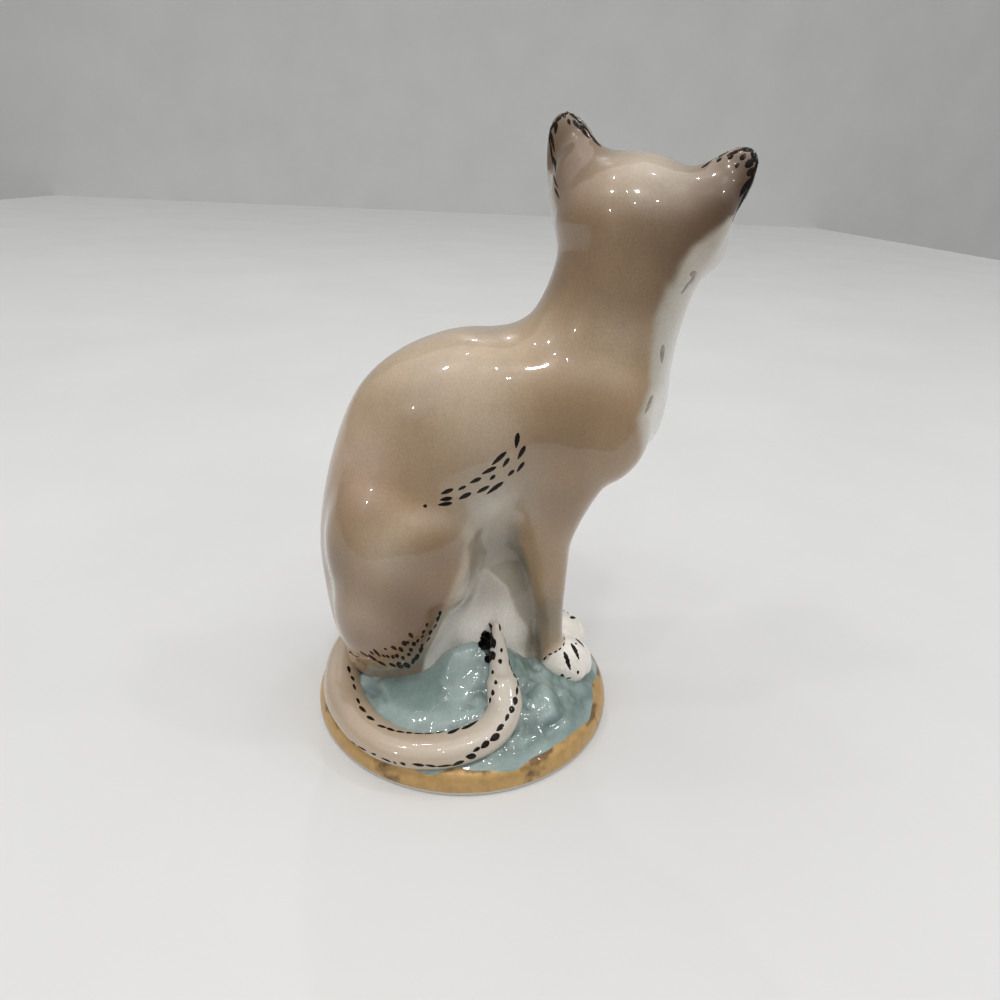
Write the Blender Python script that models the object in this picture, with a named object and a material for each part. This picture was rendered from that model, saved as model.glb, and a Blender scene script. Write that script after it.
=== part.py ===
# A seated porcelain cat on a round mound, slip-cast in eight pieces that are luted together.
# Metres, +Z up. The chest faces -Y and the cat's right side is -X. The pieces are modelled round the
# middle of the mound, and then moved together so that the origin is under the middle of the whole
# figure's box, on the surface that it stands on. Tables of stations are in millimetres, and the
# heights in them are measured from the crown of the mound, which the cat sits on.

import math

import bmesh
import bpy
import numpy as np
from mathutils import Matrix, Vector

MM = 0.001

# Casting
WALL = 2.8 * MM  # porcelain wall of the hollow castings
JOINT_GAP = 0.3 * MM  # slip joint between two castings
FORM_GRAIN = 1.1 * MM  # grain at which the modelled forms are blended into one skin
SOFTENING = 0.5  # strength of one smoothing pass
MASS_PASSES = 22  # smoothing passes that round the creases between the masses
LIMB_PASSES = 7  # and between the masses and the forelegs
CAT_TRIANGLES = 6000
WELD_DISTANCE = 0.02 * MM
SHARP_ANGLE = 50.0  # degrees: edges that turn more than this are shaded sharp

# Mound
BASE_RADIUS = 32.6 * MM
FOOT_INSET = 0.6 * MM
FOOT_HEIGHT = 0.9 * MM
BAND_HEIGHT = 4.4 * MM  # top of the gilded band
BAND_INSET = 1.0 * MM
MOUND_HEIGHT = 16.5 * MM
DOME_POWER = 2.1  # 2 is a parabola; more gives a flatter crown
HUMMOCK_FADE = 6  # the hummocks fade with this power of the distance from the middle
FOOT_RING_WIDTH = 3.8 * MM
RECESS_DEPTH = 4.5 * MM
VENT_RADIUS = 4.0 * MM
MOUND_SIDES = 48
MOUND_RINGS = 10
HUMMOCKS = (  # x, y, height, spread in mm: the soft lumps of the modelled ground
    (-10.5, -3.0, 4.6, 5.0),
    (-18.0, -19.0, 1.6, 4.5),
    (-20.0, 9.0, -1.2, 6.0),
    (12.0, -4.0, 3.0, 6.0),
    (19.0, 10.0, 1.0, 7.0),
)

# Trunk, rump to nape: back y, back z, front y, front z, half width, pinch of the front (a share)
TRUNK = (
    (23.0, -10.5, -15.0, -10.5, 9.0, 0.55),
    (28.4, -0.5, -16.0, -1.5, 10.5, 0.58),
    (30.3, 12.0, -16.4, 10.0, 13.6, 0.62),
    (30.8, 24.0, -16.6, 20.0, 16.4, 0.64),
    (29.3, 34.0, -18.0, 29.0, 17.6, 0.52),
    (26.6, 44.6, -21.8, 36.0, 17.8, 0.32),
    (21.8, 55.5, -28.0, 41.4, 17.4, 0.12),
    (14.1, 62.5, -35.6, 45.6, 16.6, 0.0),
    (4.0, 66.6, -38.1, 52.4, 15.2, 0.0),
    (-4.5, 66.9, -38.0, 59.6, 13.4, 0.0),
    (-10.0, 69.2, -38.4, 67.0, 12.3, 0.0),
    (-13.0, 74.4, -39.5, 73.5, 12.1, 0.0),
    (-14.6, 80.0, -41.0, 79.0, 12.4, 0.0),
    (-16.0, 86.0, -41.0, 85.0, 12.5, 0.0),
)

# Rounded masses on the left side: centre, radii, pitch in degrees
SHOULDER = ((8.2, -22.0, 53.0), (8.6, 11.6, 14.5), -12.0)
THIGH = ((8.6, 15.0, 25.0), (10.0, 13.0, 19.0), -6.0)
KNEE = ((10.8, 11.0, 31.0), (9.7, 11.8, 6.4), -16.0)
SHANK = ((9.2, 15.8, 12.5), (9.4, 11.6, 16.0), 0.0)
HOCK = ((6.6, 14.5, -1.5), (5.6, 11.5, 7.0), 0.0)
WEB = ((4.6, -5.0, 4.0), (6.2, 10.0, 19.0), 0.0)  # fills the space from haunch to foreleg
HEM = ((5.2, -4.6, -5.0), (7.4, 11.0, 7.0), 0.0)  # where the web meets the mound
PAW = ((4.9, -23.2, -4.4), (4.9, 6.4, 4.8), 14.0)

# Left foreleg, shoulder to ankle: x, y, z, half width, half depth
FORELEG = (
    (8.4, -19.5, 51.0, 7.2, 11.5),
    (7.8, -17.3, 42.0, 6.8, 10.0),
    (7.0, -16.2, 34.0, 6.0, 7.8),
    (6.2, -15.6, 26.5, 4.9, 5.9),
    (5.6, -16.3, 20.0, 4.1, 4.6),
    (5.2, -17.4, 12.0, 3.6, 3.4),
    (5.0, -18.2, 4.0, 3.3, 2.8),
    (5.0, -18.8, -6.5, 3.5, 3.3),
)

# Head: its own frame has x to the cat's left, y backwards and z up, from the middle of the skull
HEAD_PLACE = (2.0, -28.8, 85.6)
HEAD_TURN = 62.0  # degrees to the cat's left
HEAD_ROLL = 9.0  # degrees, right ear lower
HEAD_NOD = 4.0  # degrees, nose down
SKULL = ((0.0, 1.0, 0.4), (15.2, 14.8, 12.0), 0.0)
EAR_BASE = ((11.6, 3.2, 4.4), (5.6, 5.0, 8.4), 0.0)
CHEEK = ((8.3, -3.0, -0.6), (8.4, 9.0, 7.0), 0.0)
MUZZLE = ((-0.6, -13.0, -4.6), (6.2, 6.6, 5.2), 0.0)
BROW = ((0.0, -8.5, 2.6), (8.4, 8.4, 6.4), 0.0)

# Ears in the head's frame, both written as left ones: inner end and outer end of the root line, and
# the rounded tip that the leaf grows up to. The maker set the two a little differently.
EARS = {
    "ear_left": ((7.6, 1.6, 10.8), (15.6, 0.6, -4.0), (19.5, 0.9, 14.4)),
    "ear_right": ((7.6, 1.6, 10.8), (14.6, 0.6, -1.0), (17.6, 0.9, 14.4)),
}
EAR_THICKNESS = 5.0
EAR_CUP = 2.0  # how far the front of the ear is scooped back
EAR_SPAN = (-0.12, 0.985)  # first and last section, as shares of the way from root line to tip
EAR_TAPER = 0.55  # share of its width that the ear loses towards the tip
EAR_ROUNDING = 6  # power that rounds the tip off; more gives a blunter tip
EAR_THINNING = 0.72  # share of its thickness that the ear loses towards the tip
EAR_CUP_START = 0.35  # share of the way up at which the cup has its full depth
EAR_BACK_CUP = 0.5  # depth of the bulge at the back, as a share of the cup

# Tail, rump to tip round the right side: x, y, lift of its centre over the ground, radius
TAIL = (
    (7.0, 19.0, 4.0, 4.2),
    (0.0, 25.6, 2.0, 4.3),
    (-9.5, 26.2, 0.9, 4.2),
    (-17.4, 22.9, 0.7, 4.1),
    (-23.5, 17.6, 0.7, 4.0),
    (-26.8, 11.8, 0.7, 4.0),
    (-28.0, 5.8, 0.8, 3.9),
    (-27.3, 0.2, 0.8, 3.9),
    (-25.2, -4.6, 0.9, 3.8),
    (-21.8, -7.8, 1.0, 3.7),
    (-18.0, -8.6, 1.1, 3.3),
    (-14.8, -7.6, 1.4, 2.8),
    (-12.4, -5.6, 1.6, 2.3),
    (-11.2, -3.6, 1.6, 1.7),
)
TAIL_FLATNESS = 0.8  # height of its section, as a share of the width

# Where the maker parts the cat, with heights from the crown of the mound
NECK_HEIGHT = 73.0
LEG_TOP = 27.0
LEG_BACK = -11.5
FAR = 80.0  # mm: reach of the blocks that part it, well past the cat on every side


def clear_scene():
    for obj in list(bpy.data.objects):
        bpy.data.objects.remove(obj, do_unlink=True)


def porcelain(name, colour, roughness=0.1, metallic=0.0):
    made = bpy.data.materials.new(name)
    made.use_nodes = True
    shader = made.node_tree.nodes["Principled BSDF"]
    shader.inputs["Base Color"].default_value = (*colour, 1.0)
    shader.inputs["Roughness"].default_value = roughness
    shader.inputs["Metallic"].default_value = metallic
    return made


def new_object(name, mesh):
    obj = bpy.data.objects.new(name, mesh)
    bpy.context.scene.collection.objects.link(obj)
    return obj


def object_from(name, bm):
    mesh = bpy.data.meshes.new(name)
    bm.to_mesh(mesh)
    bm.free()
    return new_object(name, mesh)


def guide(obj):
    obj.hide_render = True
    obj.display_type = "WIRE"
    return obj


def settle(obj):
    # Replaces the mesh by what its modifiers make of it.
    graph = bpy.context.evaluated_depsgraph_get()
    mesh = bpy.data.meshes.new_from_object(obj.evaluated_get(graph))
    obj.modifiers.clear()
    obj.data = mesh
    return obj


def on_mound(x, y, z):
    # A place in millimetres, with its height from the crown of the mound, in metres.
    return Vector((x * MM, y * MM, z * MM + MOUND_HEIGHT))


def ground_height(x, y):
    # Height of the mound at (x, y): a dome down to the top of the gilded band, with hummocks.
    reach = BASE_RADIUS - BAND_INSET
    share = min(math.hypot(x, y) / reach, 1.0)
    height = BAND_HEIGHT + (MOUND_HEIGHT - BAND_HEIGHT) * (1 - share**DOME_POWER)
    fade = 1 - share**HUMMOCK_FADE
    for lump_x, lump_y, lump, spread in HUMMOCKS:
        distance = math.hypot(x - lump_x * MM, y - lump_y * MM) / (spread * MM)
        height += lump * MM * math.exp(-(distance**2)) * fade
    return height


def smooth_curve(points, steps):
    # Catmull-Rom curve through the points, with this many steps in each span.
    pts = np.asarray(points, float)
    padded = np.vstack([2 * pts[0] - pts[1], pts, 2 * pts[-1] - pts[-2]])
    curve = []
    for a, b, c, d in zip(padded, padded[1:], padded[2:], padded[3:]):
        for t in np.arange(steps) / steps:
            bend = (2 * a - 5 * b + 4 * c - d) * t**2 + (3 * b - a - 3 * c + d) * t**3
            curve.append(b + 0.5 * ((c - a) * t + bend))
    curve.append(pts[-1])
    return np.array(curve)


def turns(count):
    return np.arange(count) * 2 * math.pi / count


def oval(centre, across, along, count, pinch=0.0):
    # Ring of points. pinch narrows it towards the side that along points away from.
    ring = []
    for t in turns(count):
        narrow = 1 - pinch * (1 - math.sin(t)) / 2
        ring.append(centre + across * (math.cos(t) * narrow) + along * math.sin(t))
    return ring


def loft(name, rings, closed=False):
    # Skin over the rings, with a cap at each end unless the last ring meets the first.
    bm = bmesh.new()
    made = [[bm.verts.new(point) for point in ring] for ring in rings]
    spans = list(zip(made, made[1:]))
    if closed:
        spans.append((made[-1], made[0]))
    else:
        bm.faces.new(made[0])
        bm.faces.new(made[-1])
    for lower, upper in spans:
        for i in range(len(lower)):
            j = (i + 1) % len(lower)
            bm.faces.new((lower[i], lower[j], upper[j], upper[i]))
    bmesh.ops.recalc_face_normals(bm, faces=bm.faces)
    return object_from(name, bm)


def ellipsoid(mass, side=1, frame=None, shrink=0.0):
    # One rounded mass. side -1 mirrors it to the right; shrink draws its surface in.
    (x, y, z), radii, pitch = mass
    base = Matrix.Translation(on_mound(0, 0, 0)) if frame is None else frame
    size = [radius * MM - shrink for radius in radii]
    place = (
        base
        @ Matrix.Translation(Vector((side * x, y, z)) * MM)
        @ Matrix.Rotation(math.radians(pitch), 4, "X")
        @ Matrix.Diagonal((*size, 1.0))
    )
    bm = bmesh.new()
    bmesh.ops.create_icosphere(bm, subdivisions=4, radius=1.0, matrix=place)
    return object_from("mass", bm)


def trunk(inset=0.0, steps=3, sides=40):
    # Oval sections from rump to nape. inset draws them in, for the hollow of the casting.
    rings = []
    for back_y, back_z, front_y, front_z, half, pinch in smooth_curve(TRUNK, steps):
        back = on_mound(0, back_y, back_z)
        front = on_mound(0, front_y, front_z)
        along = (back - front) / 2
        centre = (back + front) / 2
        along *= 1 - inset / along.length
        across = Vector((half * MM - inset, 0, 0))
        rings.append(oval(centre, across, along, sides, pinch))
    return loft("trunk", rings)


def tube(name, stations, side=1, sides=20, steps=4):
    # Oval tube along (centre, half width, half depth) stations in metres.
    curve = smooth_curve([(*centre, width, depth) for centre, width, depth in stations], steps)
    rings = []
    for i, (x, y, z, width, depth) in enumerate(curve):
        ahead = curve[min(i + 1, len(curve) - 1)][:3]
        behind = curve[max(i - 1, 0)][:3]
        direction = Vector(ahead - behind).normalized()
        level = Vector((0, 0, 1)) if abs(direction.z) < 0.8 else Vector((0, 1, 0))
        across = level.cross(direction).normalized()
        along = direction.cross(across)
        ring = oval(Vector((x, y, z)), across * width, along * depth, sides)
        rings.append([Vector((side * p.x, p.y, p.z)) for p in ring])
    return loft(name, rings)


def foreleg_form(side):
    stations = [(on_mound(x, y, z), width * MM, depth * MM) for x, y, z, width, depth in FORELEG]
    return tube("foreleg_form", stations, side)


def tail_form():
    stations = []
    for x, y, lift, radius in TAIL:
        height = ground_height(x * MM, y * MM) + lift * MM
        stations.append((Vector((x * MM, y * MM, height)), radius * MM, radius * TAIL_FLATNESS * MM))
    return tube("tail", stations, sides=16, steps=2)


def head_frame():
    return (
        Matrix.Translation(on_mound(*HEAD_PLACE))
        @ Matrix.Rotation(math.radians(HEAD_TURN), 4, "Z")
        @ Matrix.Rotation(math.radians(-HEAD_ROLL), 4, "Y")
        @ Matrix.Rotation(math.radians(HEAD_NOD), 4, "X")
    )


def ear_form(name, side):
    # Crescent sections from the root line to the tip. The scooped side faces forwards.
    frame = head_frame()
    inner, outer, tip = (Vector(place) for place in EARS[name])
    root = (inner + outer) / 2
    half_root = (outer - inner) / 2
    back = half_root.cross(tip - root).normalized()
    back *= math.copysign(1, back.y)
    rings = []
    for share in np.linspace(*EAR_SPAN, 10):
        up = max(share, 0)
        centre = root.lerp(tip, share)
        width = (1 - EAR_TAPER * up) * math.sqrt(1 - up**EAR_ROUNDING)
        thick = EAR_THICKNESS / 2 * (1 - EAR_THINNING * up)
        cup = EAR_CUP * width * min(up / EAR_CUP_START, 1)
        ring = []
        for turn in turns(16):
            u, v = math.cos(turn), math.sin(turn)
            scoop = (cup if v < 0 else cup * EAR_BACK_CUP) * (1 - u * u)
            point = centre + half_root * (u * width) + back * (v * thick + scoop)
            ring.append(frame @ (Vector((side * point.x, point.y, point.z)) * MM))
        rings.append(ring)
    return loft(name, rings)


def blend(name, forms, passes):
    # Joins the forms into one closed skin and rounds its creases.
    bm = bmesh.new()
    for form in forms:
        bm.from_mesh(form.data)
        bpy.data.objects.remove(form)
    joined = object_from(name, bm)
    skin = joined.modifiers.new("skin", "REMESH")
    skin.mode = "VOXEL"
    skin.voxel_size = FORM_GRAIN
    soften = joined.modifiers.new("soften", "SMOOTH")
    soften.factor = SOFTENING
    soften.iterations = passes
    return settle(joined)


def cat_form():
    # The whole modelled cat, before it is parted for casting.
    frame = head_frame()
    masses = [trunk()]
    for side in (-1, 1):
        masses += [ellipsoid(mass, side) for mass in (SHOULDER, THIGH, KNEE, SHANK, HOCK, WEB, HEM)]
        masses += [ellipsoid(mass, side, frame) for mass in (CHEEK, EAR_BASE)]
    masses += [ellipsoid(mass, 1, frame) for mass in (SKULL, MUZZLE, BROW)]
    limbs = [blend("cat_form", masses, MASS_PASSES)]
    for side in (-1, 1):
        limbs += [foreleg_form(side), ellipsoid(PAW, side)]
    cat = blend("cat_form", limbs, LIMB_PASSES)
    cat.data.calc_loop_triangles()
    fewer = cat.modifiers.new("fewer", "DECIMATE")
    fewer.ratio = min(1.0, CAT_TRIANGLES / len(cat.data.loop_triangles))
    return guide(settle(cat))


def swollen(obj, by):
    # A copy of a closed form with its surface moved out, which cuts the slip joint.
    copy = guide(new_object(obj.name + "_swollen", obj.data))
    swell = copy.modifiers.new("swell", "DISPLACE")
    swell.mid_level = 0.0
    swell.strength = by
    return copy


def level_ring(radius, z):
    return oval(Vector((0, 0, z)), Vector((radius, 0, 0)), Vector((0, radius, 0)), MOUND_SIDES)


def ground_rings(inner, lift=0.0):
    # Rings over the dome, from the inner radius out to the top of the gilded band.
    rings = []
    for radius in np.linspace(inner, BASE_RADIUS - BAND_INSET, MOUND_RINGS):
        ring = level_ring(radius, 0)
        for point in ring:
            point.z = ground_height(point.x, point.y) + lift
        rings.append(ring)
    return rings


def make_mound():
    # Dome, gilded band, foot ring, recess underneath and vent, in one closed skin.
    ring_inside = BASE_RADIUS - FOOT_INSET - FOOT_RING_WIDTH
    belly = FOOT_HEIGHT + (BAND_HEIGHT - FOOT_HEIGHT) * 0.35
    rings = ground_rings(VENT_RADIUS)
    rings += [
        level_ring(BASE_RADIUS - BAND_INSET * 0.3, (belly + BAND_HEIGHT) / 2),
        level_ring(BASE_RADIUS, belly),
        level_ring(BASE_RADIUS, FOOT_HEIGHT),
        level_ring(BASE_RADIUS - FOOT_INSET, 0.0),
        level_ring(ring_inside, 0.0),
        level_ring(ring_inside - RECESS_DEPTH * 0.5, RECESS_DEPTH),
        level_ring(VENT_RADIUS, RECESS_DEPTH),
    ]
    return loft("mound", rings, closed=True)


def ground_cutter():
    # The mound's ground with the joint on it, filled down to below the foot and out past the rim.
    outside = BASE_RADIUS * 1.5
    rings = ground_rings(0.1 * MM, JOINT_GAP)
    rings.append(level_ring(outside, BAND_HEIGHT - BASE_RADIUS * 0.2))
    rings.append(level_ring(outside, -BASE_RADIUS))
    return guide(loft("ground_cutter", rings))


def block(name, low, high):
    low, high = on_mound(*low), on_mound(*high)
    place = Matrix.Translation((low + high) / 2) @ Matrix.Diagonal((*(high - low), 1.0))
    bm = bmesh.new()
    bmesh.ops.create_cube(bm, size=1.0, matrix=place)
    return guide(object_from(name, bm))


def cut(obj, *cutters, operation="DIFFERENCE"):
    for cutter in cutters:
        boolean = obj.modifiers.new(cutter.name, "BOOLEAN")
        boolean.operation = operation
        boolean.solver = "EXACT"
        boolean.object = cutter
    return obj


def casting(name, form):
    # A piece that starts as the whole form, and is then cut down to its own part of it.
    return new_object(name, form.data.copy())


def weld(obj):
    # Merges the hair-thin edges that the cuts leave.
    bm = bmesh.new()
    bm.from_mesh(obj.data)
    bmesh.ops.triangulate(bm, faces=bm.faces)
    bmesh.ops.remove_doubles(bm, verts=bm.verts, dist=WELD_DISTANCE)
    bmesh.ops.dissolve_degenerate(bm, edges=bm.edges, dist=WELD_DISTANCE)
    bm.to_mesh(obj.data)
    bm.free()


def finish(obj, material):
    weld(settle(obj))
    obj.data.materials.clear()
    obj.data.materials.append(material)
    obj.data.shade_smooth()
    obj.data.set_sharp_from_angle(angle=math.radians(SHARP_ANGLE))


def centre_on_origin(pieces):
    corners = [vertex.co for piece in pieces for vertex in piece.data.vertices]
    low = Vector([min(co[axis] for co in corners) for axis in range(3)])
    high = Vector([max(co[axis] for co in corners) for axis in range(3)])
    shift = Vector((-(low.x + high.x) / 2, -(low.y + high.y) / 2, -low.z))
    for piece in pieces:
        piece.data.transform(Matrix.Translation(shift))


def main():
    clear_scene()
    gap = JOINT_GAP / MM
    cat = cat_form()
    ground = ground_cutter()
    hollow = guide(trunk(inset=WALL, steps=1, sides=20))
    hollow.name = "trunk_hollow"
    skull_hollow = guide(ellipsoid(SKULL, 1, head_frame(), shrink=WALL))
    skull_hollow.name = "skull_hollow"
    head_space = block("head_space", (-FAR, -FAR, NECK_HEIGHT), (FAR, FAR, NECK_HEIGHT + FAR))
    head_keep = block("head_keep", (-FAR, -FAR, NECK_HEIGHT + gap), (FAR, FAR, NECK_HEIGHT + FAR))
    leg_space = block("leg_space", (-FAR, -FAR, -FAR), (FAR, LEG_BACK, LEG_TOP))

    coat_glaze = porcelain("coat_glaze", (0.40, 0.30, 0.21))
    cream_glaze = porcelain("cream_glaze", (0.80, 0.72, 0.62))
    ground_glaze = porcelain("ground_glaze", (0.11, 0.22, 0.22))

    mound = make_mound()
    finish(mound, ground_glaze)

    body = cut(casting("body", cat), head_space, leg_space, ground, hollow)
    finish(body, coat_glaze)

    head = cut(casting("head", cat), head_keep, operation="INTERSECT")
    cut(head, hollow, skull_hollow)
    finish(head, coat_glaze)
    pieces = [mound, body, head]

    for side, name in ((1, "left"), (-1, "right")):
        low_x, high_x = sorted((side * gap / 2, side * FAR))
        keep = block("leg_keep_" + name, (low_x, -FAR, -FAR), (high_x, LEG_BACK - gap, LEG_TOP - gap))
        leg = cut(casting("foreleg_" + name, cat), ground)
        cut(leg, keep, operation="INTERSECT")
        finish(leg, coat_glaze)
        pieces.append(leg)

    joint_skin = swollen(cat, JOINT_GAP)
    tail = cut(tail_form(), joint_skin, ground)
    finish(tail, cream_glaze)
    pieces.append(tail)
    for side, name in ((1, "ear_left"), (-1, "ear_right")):
        ear = cut(ear_form(name, side), joint_skin)
        finish(ear, coat_glaze)
        pieces.append(ear)

    centre_on_origin(pieces)


main()
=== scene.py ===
import math

import bmesh
import bpy
import numpy as np
from mathutils import Matrix, Vector, noise
from mathutils.bvhtree import BVHTree


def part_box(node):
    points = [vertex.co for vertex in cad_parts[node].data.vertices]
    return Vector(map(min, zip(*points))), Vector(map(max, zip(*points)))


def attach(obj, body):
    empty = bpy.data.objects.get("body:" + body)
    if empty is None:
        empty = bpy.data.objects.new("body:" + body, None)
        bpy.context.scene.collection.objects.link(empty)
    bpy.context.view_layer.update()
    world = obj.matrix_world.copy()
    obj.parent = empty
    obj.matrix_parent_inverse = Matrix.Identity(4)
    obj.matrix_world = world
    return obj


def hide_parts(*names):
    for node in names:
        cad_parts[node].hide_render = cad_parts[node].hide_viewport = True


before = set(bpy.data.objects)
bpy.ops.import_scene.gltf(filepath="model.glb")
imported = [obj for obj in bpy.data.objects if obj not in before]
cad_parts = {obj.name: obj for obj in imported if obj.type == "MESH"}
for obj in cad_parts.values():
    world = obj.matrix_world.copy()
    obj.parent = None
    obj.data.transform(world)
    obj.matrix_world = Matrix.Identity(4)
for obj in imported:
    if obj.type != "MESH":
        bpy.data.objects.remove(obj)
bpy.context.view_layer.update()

# Porcelain cat figurine: one glazed skin over the castings, painted by hand, on a modelled mound.
# Tables are in millimetres where no note says otherwise, with heights from the crown of the mound.

mm = 0.001
moundLow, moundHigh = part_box("mound")
moundMiddle = (moundLow + moundHigh) / 2
crownHeight = 16.5


def atCrown(x, y, z):
    # a place from the crown of the mound, in the row's own frame
    return Vector((moundMiddle.x + x * mm, moundMiddle.y + y * mm, (crownHeight + z) * mm))


# Small tools


def deselectAll():
    if bpy.context.object and bpy.context.object.mode != "OBJECT":
        bpy.ops.object.mode_set(mode="OBJECT")
    bpy.ops.object.select_all(action="DESELECT")


def makeActive(obj):
    deselectAll()
    obj.select_set(True)
    bpy.context.view_layer.objects.active = obj
    return obj


def linked(name, data):
    obj = bpy.data.objects.new(name, data)
    bpy.context.scene.collection.objects.link(obj)
    return obj


def applyModifier(obj, kind, **settings):
    makeActive(obj)
    modifier = obj.modifiers.new(kind.lower(), kind)
    for key, value in settings.items():
        setattr(modifier, key, value)
    bpy.ops.object.modifier_apply(modifier=modifier.name)
    return obj


def joinPieces(pieces, name):
    deselectAll()
    for piece in pieces:
        piece.select_set(True)
    bpy.context.view_layer.objects.active = pieces[0]
    bpy.ops.object.join()
    joined = bpy.context.object
    joined.name = name
    joined.data.name = name
    return joined


def ball(place, radii, turn=0.0, frameMatrix=None):
    # a rounded mass; turn pitches it about its own left-right axis
    deselectAll()
    bpy.ops.mesh.primitive_ico_sphere_add(subdivisions=5, radius=1.0)
    obj = bpy.context.object
    base = Matrix.Translation(atCrown(0, 0, 0)) if frameMatrix is None else frameMatrix
    obj.matrix_world = (
        base
        @ Matrix.Translation(Vector(place) * mm)
        @ Matrix.Rotation(math.radians(turn), 4, "X")
        @ Matrix.Diagonal((*(Vector(radii) * mm), 1.0))
    )
    bpy.ops.object.transform_apply(location=True, rotation=True, scale=True)
    return obj


def smoothCurve(points, steps):
    # a soft curve through the points, with this many steps in each span
    pts = np.asarray(points, float)
    padded = np.vstack([2 * pts[0] - pts[1], pts, 2 * pts[-1] - pts[-2]])
    curve = []
    for a, b, c, d in zip(padded, padded[1:], padded[2:], padded[3:]):
        for t in np.arange(steps) / steps:
            bend = (2 * a - 5 * b + 4 * c - d) * t**2 + (3 * b - a - 3 * c + d) * t**3
            curve.append(b + 0.5 * ((c - a) * t + bend))
    curve.append(pts[-1])
    return np.array(curve)


def ovalRing(centre, across, along, sides, pinch=0.0):
    ring = []
    for t in np.arange(sides) * 2 * math.pi / sides:
        narrow = 1 - pinch * (1 - math.sin(t)) / 2
        ring.append(centre + across * (math.cos(t) * narrow) + along * math.sin(t))
    return ring


def loft(name, rings):
    # a disc that is extruded from section to section
    deselectAll()
    bpy.ops.mesh.primitive_circle_add(vertices=len(rings[0]), radius=1.0, fill_type="NGON")
    obj = bpy.context.object
    obj.name = name
    for vertex, point in zip(obj.data.vertices, rings[0]):
        vertex.co = point
    bpy.ops.object.mode_set(mode="EDIT")
    bpy.ops.mesh.select_all(action="SELECT")
    before = np.array([tuple(p) for p in rings[0]])
    for ring in rings[1:]:
        bpy.ops.mesh.extrude_region_move()
        mesh = bmesh.from_edit_mesh(obj.data)
        after = np.array([tuple(p) for p in ring])
        for vertex in mesh.verts:
            if vertex.select:
                nearest = np.argmin(((before - np.array(vertex.co)) ** 2).sum(1))
                vertex.co = after[nearest]
        bmesh.update_edit_mesh(obj.data)
        before = after
    bpy.ops.mesh.select_all(action="SELECT")
    bpy.ops.mesh.normals_make_consistent(inside=False)
    bpy.ops.object.mode_set(mode="OBJECT")
    return obj


def perVertex(obj, what="co"):
    values = np.empty(len(obj.data.vertices) * 3)
    obj.data.vertices.foreach_get(what, values)
    return values.reshape(-1, 3)


def setCoords(obj, co):
    obj.data.vertices.foreach_set("co", co.astype(np.float32).ravel())
    obj.data.update()


def treeOf(*skins):
    # one search tree over the faces of several skins
    places, faces = [], []
    for skin in skins:
        first = len(places)
        places += [vertex.co for vertex in skin.data.vertices]
        faces += [[first + index for index in face.vertices] for face in skin.data.polygons]
    return BVHTree.FromPolygons(places, faces)


def smoothStep(low, high, value):
    t = np.clip((value - low) / (high - low), 0, 1)
    return t * t * (3 - 2 * t)


# Camera, as the photograph was taken

cameraSetup = {
    "place": (-134.6, 12.3, 111.0),
    "turn": (65.084, -2.513, -93.833),  # degrees
    "lens": 25.92,
    "sensor": 36.0,
    "photoSize": 1000,
}


def makeCamera(setup):
    data = bpy.data.cameras.new("photoCamera")
    data.lens = setup["lens"]
    data.sensor_width = setup["sensor"]
    data.clip_start = 0.01
    camera = linked("photoCamera", data)
    camera.location = Vector(setup["place"]) * mm
    camera.rotation_euler = [math.radians(angle) for angle in setup["turn"]]
    bpy.context.scene.camera = camera
    bpy.context.view_layer.update()
    return camera


camera = makeCamera(cameraSetup)
print("camera placed")


def rayAt(px, py):
    # eye and direction of the view through a pixel of the photograph
    half = cameraSetup["photoSize"] / 2
    focal = cameraSetup["photoSize"] * cameraSetup["lens"] / cameraSetup["sensor"]
    ray = camera.matrix_world.to_3x3() @ Vector(((px - half) / focal, (half - py) / focal, -1))
    return camera.matrix_world.translation, ray.normalized()


# The modelled cat

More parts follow.
